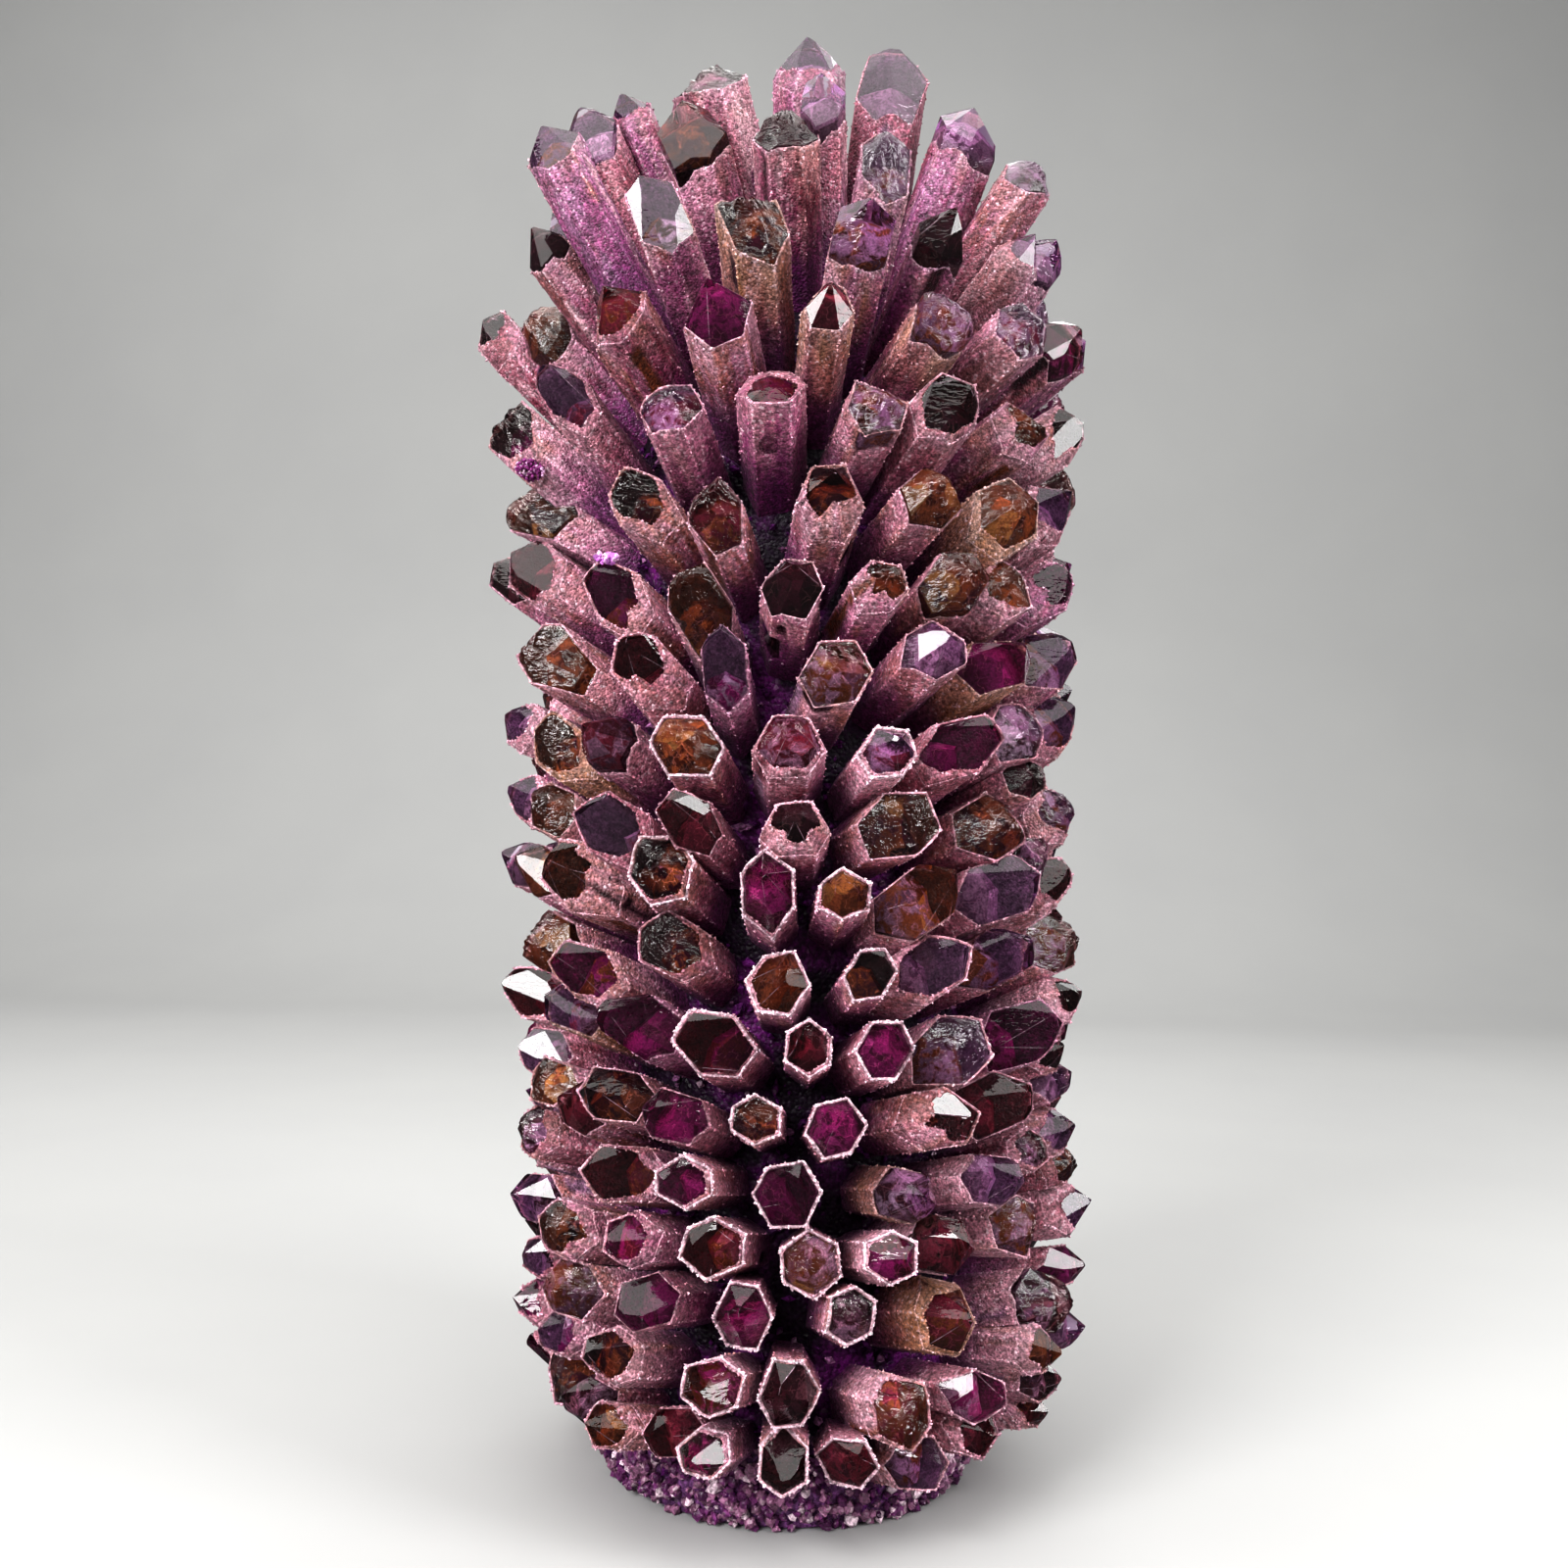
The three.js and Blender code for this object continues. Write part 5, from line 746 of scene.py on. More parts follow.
for P in points:
    rng, w = P.rng, P.width
    key = P.tint[0]
    second = P.tint[1] if len(P.tint) > 1 else key
    head_on = P.style.endswith("h")
    rough = P.style[0] == "r"
    planes = P.ends()
    lip = 0.82 if head_on else 0.44  # thickness of the coat where it ends
    hexagon = P.inner(lip - COAT)
    # ---- clear body
    root = P.deep * 0.75
    shrink = float(P.girth(root) / P.girth(P.mean_down))
    if not rough:
        body, faces, tops = cap_body(hexagon, planes, root, shrink)
        glass[GLASS_OF[key]].add(P.world(body), faces, (1, 1, 1), flat=True)
        seen = {}
        for face in faces[:tops]:
            for a, b in zip(face, face[1:] + face[:1]):
                seen[frozenset((a, b))] = seen.get(frozenset((a, b)), 0) + 1
        for pair, times in seen.items():
            a, b = (P.world(body)[n] for n in sorted(pair)) if len(pair) == 2 else (None, None)
            # pale slivers along some edges of the end: wear, and painted highlights where the edges catch the light
            if times == 2 and a is not None and np.linalg.norm(b - a) > 1.0 and rng.random() < 0.22:
                sliver(worn, a, b, rng.uniform(0.05, 0.10), P.axis, np.array((0.22, 0.14, 0.18)) * rng.uniform(0.4, 1.3), rng)
    else:
        # a broken end: the same outline under a crumpled surface
        steps, shells = 4, 7
        edge = np.concatenate([hexagon[k] + (hexagon[(k + 1) % 6] - hexagon[k]) * (np.arange(steps) / steps)[:, None] for k in range(6)])
        n = len(edge)
        mid = P.apex * 0.5
        xy = [mid[None]]
        for s in range(1, shells + 1):
            ring = mid + (edge - mid) * (s / shells)
            if s < shells:
                ring = ring + rng.uniform(-0.28, 0.28, ring.shape) * w / 18
            xy.append(ring)
        xy = np.concatenate(xy)
        base = top_of(planes, xy)
        here = P.world(np.column_stack([xy, base]))
        crumple = 0.060 * w * fbm(here, 4.2, 3) + 0.045 * w * np.abs(noise(here, 2.1, 9)) + rng.uniform(-0.22, 0.34, len(xy))
        crumple[-n:] *= 0.4
        depth = np.maximum(base + crumple, top_of(P.hull, xy) + 0.15)
        bottom = np.column_stack([edge * shrink, np.full(n, root)])
        body = np.concatenate([np.column_stack([xy, depth]), bottom, [[0, 0, root]]])
        faces = [np.array([0, 1 + a, 1 + (a + 1) % n]) for a in range(n)]
        for s in range(1, shells):
            r0, r1 = 1 + (s - 1) * n, 1 + s * n
            for a in range(n):
                b = (a + 1) % n
                if (a + s) % 2:
                    faces += [np.array([r0 + a, r1 + a, r1 + b]), np.array([r0 + a, r1 + b, r0 + b])]
                else:
                    faces += [np.array([r0 + a, r1 + a, r0 + b]), np.array([r0 + b, r1 + a, r1 + b])]
        r0, r1 = 1 + (shells - 1) * n, 1 + shells * n
        faces += [np.array([r0 + a, r1 + a, r1 + (a + 1) % n, r0 + (a + 1) % n]) for a in range(n)]
        faces += [np.array([r1 + n, r1 + (a + 1) % n, r1 + a]) for a in range(n)]
        glass[GLASS_OF[key] + "_broken"].add(P.world(body), faces, (1, 1, 1), flat=True)

    # ---- what is sealed in it: an older, smaller termination under the clear one
    clear_deep = {"w": (2.2, 5.0), "p": (1.4, 4.0), "g": (1.4, 4.0), "m": (1.0, 2.8), "a": (0.9, 2.6), "k": (0.8, 2.0)}[key]
    under = rng.uniform(*clear_deep) * (0.6 if rough else 1.0) * w / 19
    spin = rng.uniform(0, 2 * math.pi)
    inner_planes = []
    faces_n = int(rng.integers(3, 5))
    centre_depth = float(top_of(planes, np.zeros((1, 2)))[0])
    steep = rng.uniform(0.35, 0.85)
    for k in range(faces_n):
        t = spin + 2 * math.pi * k / faces_n + rng.uniform(-0.3, 0.3)
        s = steep * rng.uniform(0.5, 1.3)
        inner_planes.append(np.array([centre_depth + under + rng.uniform(-0.4, 1.0), s * math.cos(t), s * math.sin(t)]))
    lowered = [p + np.array([under * 0.8, 0, 0]) for p in planes]
    small = P.inner(lip - COAT + 0.35)
    body, faces, tops = cap_body(small, lowered + inner_planes, min(P.mean_down + under + 9.0, P.deep * 0.7), 0.94)
    main, dark, bright = (np.array(c) for c in SEALED[key])
    main2, dark2, bright2 = (np.array(c) for c in SEALED[second])
    where = "low" if P.tip[2] < 150 else "middle" if P.tip[2] < 300 else "high"
    # each face keeps its own tone, so its corners are not shared
    pts, fcs, cols, cols2, flow = [], [], [], [], []
    shift = np.array([P.index * 11.3, P.index * 5.7, P.index * 3.1])
    for f, face in enumerate(faces):
        pick = rng.random()
        tone = (main if pick < 0.66 else main * 0.35 + dark * 0.65 if pick < 0.84 else 0.5 * (main + bright) if pick < 0.94 else main2) * rng.uniform(0.60, 1.50)
        patch = (main2 if second != key else (dark if pick < 0.6 else main)) if rng.random() < 0.7 else dark2
        start = len(pts)
        for n in face:
            pts.append(body[n])
            # painted shade: each face is darker the deeper it lies in the point
            deep = max(0.0, body[n][2] - centre_depth - under) / (0.6 * w)
            light = 1.15 - 0.7 * float(smooth(0.0, 1.0, deep))
            cols.append(tone * light)
            cols2.append(patch * light)
            flow.append(body[n] + shift)
        fcs.append(np.arange(start, len(pts)))
    sealed[where].add(P.world(np.array(pts)), fcs, np.array(cols), flat=True, second=np.array(cols2), flow=np.array(flow))

    # ---- druzy coat
    c = np.concatenate([P.corners[k] + (P.corners[(k + 1) % 6] - P.corners[k]) * ALONG[:, None] for k in range(6)])
    c[::SIDE_STEPS] *= 0.985
    size = np.hypot(*c.T)
    out = c / size[:, None]
    theta = np.arctan2(out[:, 1], out[:, 0])
    circle = np.column_stack([np.cos(theta), np.sin(theta), np.zeros(AROUND)]) * 1.4
    shoulder = c * float(P.taper(P.mean_down)) * (1 - (lip - COAT) / size)[:, None]
    top = top_of(planes, shoulder)  # where the clear end meets the coat
    if head_on:
        bare = 0.0
    else:
        high = smooth(250, 400, P.tip[2])
        bare = float(rng.choice([0.0, rng.uniform(0.3, 1.2), rng.uniform(1.5, 3.6 + 2.2 * high)], p=[0.68 - 0.25 * high, 0.18, 0.14 + 0.25 * high]))
    ragged = noise(circle + P.index * 7.3, 0.9, 5)
    proud = 0.42 if head_on else 0.12
    start = top + bare * np.clip(1 + 0.7 * ragged, 0, 1.8) - (proud if bare < 0.3 else 0.0)
    start = start + rng.uniform(-0.10, 0.10, AROUND) + 0.12 * noise(circle * 3 + P.index, 0.8, 6)
    walls = WALL_RINGS if P.index < MEASURED else 13
    wall = start + 0.55 + (P.deep - start - 0.55) * (np.linspace(0, 1, walls) ** 1.30)[:, None]
    cup = rng.uniform(3.0, 5.5)
    depths = np.concatenate([[start + cup], [start + 1.5], [start + proud + 0.05], [start + 0.02], [start + 0.10], wall])
    insets = np.concatenate([[np.full(AROUND, lip + 0.75)], [np.full(AROUND, lip + 0.30)], [np.full(AROUND, lip + 0.10)], [np.full(AROUND, lip * 0.62)], [np.full(AROUND, lip * 0.16)], np.full((walls, AROUND), 0.02)])
    rings = len(depths)
    WALL = 5
    if bare > 0.3:
        insets[3:5] += 0.10
    insets[:4] += 0.30 * lip * noise(circle * 1.6 + P.index * 1.9, 0.7, 12)

    # openings in the coat: streaks where the clear wall shows, and broken holes
    covered = np.zeros((rings, AROUND))
    sunk = np.zeros((rings, AROUND))
    pane = np.zeros((rings, AROUND, 3))
    ahead = depths - start
    spots = []
    chance = 0.5 if key == "a" or P.coat == "g" else 0.22
    if rng.random() < chance and not head_on:
        for _ in range(int(rng.integers(1, 3))):
            tone = np.array(SEALED[second if rng.random() < 0.6 else key][0]) * 1.1
            spots.append((rng.uniform(-math.pi, math.pi), rng.uniform(0.9, 2.2), rng.uniform(0, 5), rng.uniform(8, 26), 0.35, tone))
    for turn_at, begin, half, long, sink, tone in HOLLOWS.get(P.index, ()):
        spots.append((math.radians(turn_at), half, begin - float(start.mean()), long, sink, np.array(tone)))
    # now and then a small broken hole, painted near black as shade inside it
    if P.index not in HOLLOWS and rng.random() < 0.06:
        spots.append((rng.uniform(-math.pi, math.pi), rng.uniform(1.4, 2.6), rng.uniform(8, 18), rng.uniform(4, 8), 1.8, np.array((0.02, 0.004, 0.006))))
    for turn_at, half, begin, long, sink, tone in spots:
        arc = np.abs((theta - turn_at + math.pi) % (2 * math.pi) - math.pi) * size
        wav = 0.8 * noise(np.stack([np.broadcast_to(theta * 3, depths.shape), depths / 4, np.full(depths.shape, P.index * 1.7)], -1), 1.0, 8)
        across = smooth(half + 0.8, half - 0.5, arc[None] + wav)
        down = smooth(begin - 1.5, begin + 0.8, ahead + wav) * smooth(begin + long, begin + long - 3.0, ahead + wav)
        part = across * down
        part[:WALL] = 0
        covered = np.maximum(covered, part)
        sunk = np.maximum(sunk, part * sink)
        pane = mix(pane, tone, part > 0.02)
    insets = insets + sunk - COAT

    flat2 = c[None] * P.girth(depths)[..., None] - out[None] * insets[..., None]
    local = np.concatenate([flat2, depths[..., None]], -1)
    world = P.world(local)
    radial = out[:, 0:1] * P.side + out[:, 1:2] * P.up
    bump = 0.22 * fbm(world, 5.5, 21) + 0.16 * noise(world, 1.7, 31) + rng.uniform(-0.12, 0.12, depths.shape) + 0.7 * np.clip(noise(world, 2.3, 41) - 0.6, 0, 1)
    bump = bump * (1 - 0.7 * covered)
    bump[:3] *= 0.15
    bump[3:5] *= 0.45
    world = world + radial[None] * bump[..., None]

    # colours of the coat
    base, other = np.array(COATS[P.coat]), np.array(SECOND[P.coat])
    # painted light: coats of points standing about 150 to 235 mm high are made a fifth lighter, fading out by 105 and
    # 275 mm
    base = base * rng.uniform(0.80, 1.15) * (1 + 0.20 * float(smooth(105, 150, P.tip[2]) * smooth(275, 235, P.tip[2])))
    flow = np.stack([flat2[..., 0], flat2[..., 1], depths * 0.13], -1) + P.index * 13.1
    sides = smooth(-0.35, 0.45, noise(circle + P.index * 3.1, 1.3, 51))
    colour = mix(base, other, np.broadcast_to(sides, depths.shape))
    streak = fbm(flow, 1.6, 61)
    colour = colour * (1 + 0.24 * streak)[..., None]
    colour = colour * (1 + 0.32 * noise(world, 3.4, 71))[..., None]
    gold = smooth(0.25, 0.55, noise(flow, 2.2, 81)) * (0.75 if P.coat == "g" or "a" in P.tint else 0.15)
    colour = mix(colour, (0.29, 0.125, 0.035), gold)
    # the second colour, which comes through in patches and streaks
    patches = PATCH[P.coat]
    patch = np.array(patches[int(rng.integers(len(patches)))]) * rng.uniform(0.8, 1.2)
    strength = rng.uniform(0.50, 1.0)
    other_colour = mix(colour, patch, np.full(depths.shape, strength))
    # towards the root the coat turns dark purple: partly its own colour, partly painted shade of the crowded roots
    reach = ahead / (P.deep - start)
    root_purple_and_shade = smooth(0.14, 0.72, reach + 0.12 * noise(world, 6.0, 91))
    colour = mix(colour, ROOT_PURPLE_AND_SHADE, 0.92 * root_purple_and_shade)
    other_colour = mix(other_colour, ROOT_PURPLE_AND_SHADE, 0.92 * root_purple_and_shade)
    # the coat is paler towards its end: partly whitish druse, partly a painted highlight where light falls on the ends
    near = smooth(15.0, 1.0, ahead + 3.0 * noise(world, 4.0, 95))
    pale_coat = np.minimum(base * 1.12 + np.array((0.062, 0.078, 0.088)), 0.9)
    colour = mix(colour, pale_coat, rng.uniform(0.45, 0.85) * near * (1 - 0.55 * smooth(300, 400, P.tip[2])))
    other_colour = mix(other_colour, pale_coat, 0.30 * near)
    # towards the top the druse is thinner, and the wine-coloured quartz comes through it
    if P.tip[2] > 290:
        bared = float(smooth(290, 370, P.tip[2])) * smooth(-0.30, 0.45, noise(flow, 5.0, 191)) * rng.uniform(0.30, 0.80)
        wine = np.array(((0.17, 0.022, 0.042), (0.15, 0.016, 0.080), (0.22, 0.060, 0.035))[int(rng.choice(3, p=[0.38, 0.42, 0.20]))])
        cool = 1 - float(smooth(290, 370, P.tip[2])) * np.array((0.09, 0.04, 0.02))
        colour, other_colour = mix(colour, wine, bared) * cool, mix(other_colour, wine, 0.7 * bared) * cool
        dusty = float(smooth(290, 370, P.tip[2])) * smooth(0.05, 0.55, noise(flow, 3.6, 197)) * rng.uniform(0.30, 0.75) * (1 - 0.7 * root_purple_and_shade)
        colour = mix(colour, (0.54, 0.335, 0.375), dusty)
    # brown and wine tints where the coat thins towards the end
    thin = smooth(14.0, 0.5, ahead) * smooth(-0.15, 0.50, noise(world, 5.0, 181)) * rng.uniform(0.2, 0.85)
    stain = np.array((0.25, 0.095, 0.035) if key in "ak" or "a" in P.tint else (0.19, 0.030, 0.040))
    colour, other_colour = mix(colour, stain, 0.75 * thin), mix(other_colour, stain, 0.55 * thin)
    # paler grains at the end of the coat
    rim = np.array([0.25, 0.75, 1.0, 0.75]) * (0.92 if head_on else 0.20)
    colour[2:6] = mix(colour[2:6], RIM_COLOUR, rim[:, None] * np.ones((4, AROUND)))
    colour[2:6] *= rng.uniform(0.58, 1.15, (4, AROUND, 1))
    inside = np.array(SEALED[key][0]) * 0.8
    colour[:2] = inside * np.array([0.45, 0.85])[:, None, None]
    # paler grains along the prism's corners, partly a painted highlight of edges catching the light
    crest = np.zeros(AROUND)
    crest[::SIDE_STEPS] = 1.0
    glow = 0.42 * crest[None] * (1 - 0.8 * root_purple_and_shade) * (np.arange(rings) >= WALL)[:, None] * (1 - covered)
    colour = mix(colour, np.minimum(colour * 1.8 + 0.10, 0.9), glow)
    other_colour[:WALL] = colour[:WALL]
    other_colour = mix(other_colour, np.minimum(other_colour * 1.8 + 0.10, 0.9), glow)
    shade = 1 + 0.35 * noise(world, 1.3, 111)
    inner_tone = pane * shade[..., None]
    open_ = smooth(0.30, 0.62, covered)
    edge_ = 0.45 * smooth(0.08, 0.25, covered) * smooth(0.5, 0.3, covered)
    colour = mix(mix(colour, inner_tone, open_), np.minimum(colour * 1.5 + 0.08, 0.9), edge_)
    other_colour = mix(mix(other_colour, inner_tone * 0.6, open_), np.minimum(other_colour * 1.5 + 0.08, 0.9), edge_)
    vary = rng.uniform(0.90, 1.10, depths.shape)[..., None]
    colour, other_colour = colour * vary, other_colour * vary

    cap_top = world[0].mean(0)
    cap_root = world[-1].mean(0)
    allp = np.concatenate([world.reshape(-1, 3), [cap_top, cap_root]])
    ends = np.array([colour[0].mean(0) * 0.5, ROOT_PURPLE_AND_SHADE * 0.4])
    allc = np.concatenate([colour.reshape(-1, 3), ends])
    allc2 = np.concatenate([other_colour.reshape(-1, 3), ends])
    flows = np.concatenate([local.reshape(-1, 3), [[0, 0, 0], [0, 0, P.deep]]]) + shift
    quads = ring_faces(rings, AROUND)
    nv = rings * AROUND
    a = np.arange(AROUND)
    b = (a + 1) % AROUND
    # the cup's floor under the clear end, and the root end
    faces = list(quads) + [np.array([nv, b[k], a[k]])[::-1] for k in range(AROUND)] + [np.array([nv + 1, nv - AROUND + b[k], nv - AROUND + a[k]]) for k in range(AROUND)]
    band = min(int(P.tip[2] // 75), 5)
    face_side = int(((math.degrees(math.atan2(P.tip[1], P.tip[0])) + 90 + 60) % 360) // 120) if P.tip[2] < 375 else 0
    name = f"coat_{band}{'abc'[face_side]}"
    coats.setdefault(name, Batch()).add(allp, faces, allc, second=allc2, flow=flows)

    # ---- the druse creeps up over the low side of the end faces
    most = rng.uniform(0.14, 0.50) if rng.random() < (0.5 if rough else 0.8) * (1 - 0.45 * float(smooth(300, 380, P.tip[2]))) else 0.0
    if head_on:
        most *= 0.22
    if most > 0.03 and bare < 0.3:
        spread = float(np.ptp(top))
        lean = smooth(0.05, 0.95, (top - top.min()) / max(spread, 1e-6)) if spread > 0.15 * w else np.full(AROUND, 0.6)
        f = most * (0.10 + 0.90 * lean) * (1 + 0.50 * noise(circle + P.index * 2.7, 1.1, 141)) + rng.uniform(-0.008, 0.008, AROUND)
        f = np.clip(f, 0.012, 0.62)
        full = smooth(0.01, 0.09, f)
        over, over_depth = [], []
        for part, lift in ((1.0, 0.03), (0.86, 0.26), (0.50, 0.38), (0.0, 0.30), (0.0, -0.7), (1.0, -0.4)):
            xy = shoulder + (P.apex - shoulder) * (f * part)[:, None]
            if part == 0.0:
                xy = xy + out * 0.12
            over.append(xy)
            over_depth.append(top_of(planes, xy) - lift * (full if lift > 0 else 1.0))
        over, over_depth = np.array(over), np.array(over_depth)
        sheet = np.concatenate([over, over_depth[..., None]], -1)
        rough_bit = 0.16 * fbm(P.world(sheet), 2.2, 151) + rng.uniform(-0.10, 0.10, over_depth.shape) + 0.4 * np.clip(noise(P.world(sheet), 1.9, 161) - 0.5, 0, 1)
        sheet[1:4, :, 2] -= (rough_bit * full)[1:4]
        along_edge = np.clip(0.5 + 0.7 * noise(circle * 1.1 + P.index * 4.1, 0.9, 171), 0, 1)
        bleed = np.array([0.85, 0.50, 0.08, 0.0, 0.0, 0.9])[:, None] * along_edge
        tone = np.broadcast_to(colour[WALL + 1], (6, AROUND, 3)) * 0.72 * rng.uniform(0.85, 1.15, (6, AROUND, 1))
        tone = mix(mix(tone, pale_coat, np.full((6, AROUND), 0.08)), np.array((0.22, 0.065, 0.035)) if key in "ak" or "a" in P.tint else np.array((0.16, 0.018, 0.050)), bleed)
        tone2 = mix(np.broadcast_to(other_colour[WALL + 1], (6, AROUND, 3)) * 0.72, (0.14, 0.022, 0.030), bleed)
        quads6 = ring_faces(6, AROUND)
        ka = np.arange(AROUND)
        kb = (ka + 1) % AROUND
        close = np.stack([5 * AROUND + ka, ka, kb, 5 * AROUND + kb], -1)
        coats[name].add(P.world(sheet).reshape(-1, 3), np.concatenate([quads6, close]), tone.reshape(-1, 3), second=tone2.reshape(-1, 3), flow=sheet.reshape(-1, 3) + shift)
        # grains on its ragged edge
        pick_n = rng.integers(AROUND, size=48)
        pick_n = pick_n[f[pick_n] > 0.04]
        if len(pick_n):
            ring_n = (rng.random(len(pick_n)) < 0.5).astype(int)
            slide = rng.random((len(pick_n), 1))
            edge_at = P.world(sheet)[ring_n, pick_n] * (1 - slide) + P.world(sheet)[ring_n, (pick_n + 1) % AROUND] * slide
            dust_at.append(edge_at)
            dust_size.append(rng.uniform(0.24, 0.50, len(pick_n)))
            dust_colour.append(np.minimum(tone[2, pick_n] * 1.4 + np.array((0.06, 0.035, 0.045)), 0.9) * rng.uniform(0.5, 1.2, (len(pick_n), 1)))

    # ---- loose sugar grains along the corners and the rim
    n_edge, n_rim, n_any = 40, 34, 10
    col = np.concatenate([rng.integers(6, size=n_edge) * SIDE_STEPS, rng.integers(AROUND, size=n_rim), rng.integers(AROUND, size=n_any)])
    row_ = np.concatenate([rng.integers(WALL, rings - 4, n_edge), rng.integers(3, 5, n_rim), rng.integers(WALL, rings - 3, n_any)])
    keep = covered[row_, col] < 0.3
    col, row_ = col[keep], row_[keep]
    col2, row2 = (col + rng.integers(-1, 2, len(col))) % AROUND, np.minimum(row_ + 1, rings - 1)
    t1, t2 = rng.random((2, len(col), 1))
    spot = world[row_, col] * (1 - t1) + world[row2, col] * t1
    spot = spot + (world[row_, col2] - world[row_, col]) * t2 * 0.4
    grain_at.append(spot + radial[col] * rng.uniform(-0.05, 0.12, (len(col), 1)))
    grain_size.append(rng.uniform(0.18, 0.42, len(col)) * np.where(row_ < WALL, 1.2, 1.0))
    pale = np.minimum(colour[row_, col] * 1.5 + np.array((0.12, 0.08, 0.10)), 0.9)
    grain_colour.append(pale * rng.uniform(0.55, 1.15, (len(col), 1)) * (1.0 if head_on else 0.82))
    # a dusting of finer grains over the whole coat
    n_dust = 110 if P.index < MEASURED else 30
    col, row_ = rng.integers(AROUND, size=n_dust), rng.integers(WALL, rings - 5, size=n_dust)
    keep = covered[row_, col] < 0.3
    col, row_ = col[keep], row_[keep]
    t1, t2 = rng.random((2, len(col), 1))
    spot = world[row_, col] * (1 - t1) + world[row_ + 1, col] * t1
    spot = spot + (world[row_, (col + 1) % AROUND] - world[row_, col]) * t2
    dust_at.append(spot + radial[col] * rng.uniform(0.0, 0.12, (len(col), 1)))
    dust_size.append(rng.uniform(0.20, 0.46, len(col)))
    tone = colour[row_, col]
    light = rng.random((len(col), 1))
    dust_colour.append(np.where(light < 0.5, np.minimum(tone * 1.5 + 0.04, 0.9), tone * 0.45) * rng.uniform(0.8, 1.2, (len(col), 1)))
# ---------------------------------------------------------------- crusted core and foot
rng = np.random.default_rng(77)
crust = Batch()
rows_z = 150
cols_a = 156
# rings from the middle of the underside, out to the foot's edge, up the column and in over its top
profile = [(8, 0.0), (26, 0.0), (44, 0.0), (52.5, 0.0), (54.5, 0.6)]
for z in np.linspace(2.0, 300.0, 118):
    profile.append((float(np.interp(z, CORE_PROFILE[:, 1], CORE_PROFILE[:, 0])), float(z)))
for t in np.linspace(0.02, 1, 26):
    z = 300 + 67 * math.sin(t * math.pi / 2)
    profile.append((max(float(np.interp(z, CORE_PROFILE[:, 1], CORE_PROFILE[:, 0])), 2.0), z))
profile = np.array(profile)[::-1]  # from the top down
ang = np.linspace(0, 2 * math.pi, cols_a, endpoint=False)
grid = np.stack([profile[:, 0:1] * np.cos(ang), profile[:, 0:1] * np.sin(ang), np.broadcast_to(profile[:, 1:2], (len(profile), cols_a))], -1)
flatfoot = smooth(0.0, 2.5, grid[..., 2])
lump = 1.3 * fbm(grid, 9.0, 201) + 0.9 * np.abs(noise(grid, 4.2, 211)) + rng.uniform(-0.25, 0.25, grid.shape[:2])
lump = (lump - 0.4) * flatfoot
outward = np.stack([np.cos(ang), np.sin(ang), 0 * ang], -1)[None]
grid = grid + outward * lump[..., None]
# dark violet crust, made near black in part as painted shade of the deep gaps between the points; darker towards the
# top
violet = smooth(-0.1, 0.45, fbm(grid, 11.0, 221))
tone = mix((0.010, 0.002, 0.012), (0.098, 0.007, 0.098), violet)
tone = tone * ((1 + 0.5 * noise(grid, 2.4, 231)) * (1 - 0.30 * smooth(230, 330, grid[..., 2])))[..., None]
low = smooth(30, 12, grid[..., 2])
tone = mix(tone, (0.16, 0.06, 0.17), 0.8 * low)
pts = np.concatenate([grid.reshape(-1, 3), [[0, 0, 368.2], [0, 0, 0]]])
tones = np.concatenate([tone.reshape(-1, 3), [[0.02, 0.005, 0.03]] * 2])
n_rows = len(profile)
nv = n_rows * cols_a
a = np.arange(cols_a)
b = (a + 1) % cols_a
faces = list(ring_faces(n_rows, cols_a)) + [np.array([nv, a[k], b[k]]) for k in range(cols_a)] + [np.array([nv + 1, nv - cols_a + b[k], nv - cols_a + a[k]]) for k in range(cols_a)]
crust.add(pts, faces, tones)

# small crystals standing in the crust between the points
druse = Batch()
n = 3600
zz = rng.uniform(6, 362, n)
aa = rng.uniform(0, 2 * math.pi, n)
rr = np.interp(zz, CORE_PROFILE[:, 1], CORE_PROFILE[:, 0]) + rng.uniform(-0.6, 1.6, n)
at = np.stack([rr * np.cos(aa), rr * np.sin(aa), zz], 1)
pick = rng.random(n)
shade = np.where(pick[:, None] < 0.80, (0.075, 0.006, 0.085), np.where(pick[:, None] < 0.96, (0.22, 0.09, 0.19), (0.50, 0.36, 0.44))) * rng.uniform(0.5, 1.4, (n, 1))
scatter(druse, NEEDLE, at, rng.uniform(0.5, 1.5, n), shade, rng, 0.25, rng.uniform(0.8, 1.6, n))

# coarse sugary crust of the foot
foot = Batch()
n = 2300
zz = 23 * rng.random(n) ** 0.9 + 0.4
aa = rng.uniform(0, 2 * math.pi, n)
big = rng.uniform(0.75, 1.9, n) * np.where(rng.random(n) < 0.12, 1.4, 1.0)
rr = np.interp(zz, CORE_PROFILE[:, 1], CORE_PROFILE[:, 0]) + rng.uniform(-0.5, 1.7, n)
at = np.stack([rr * np.cos(aa), rr * np.sin(aa), zz], 1)
pick = rng.random(n)
shade = np.where(pick[:, None] < 0.50, (0.10, 0.020, 0.085), np.where(pick[:, None] < 0.86, (0.225, 0.098, 0.170), (0.54, 0.41, 0.47))) * rng.uniform(0.7, 1.3, (n, 1))
scatter(foot, LUMP, at, big, shade, rng, 0.30, rng.uniform(0.8, 1.3, n), floor=0.0)

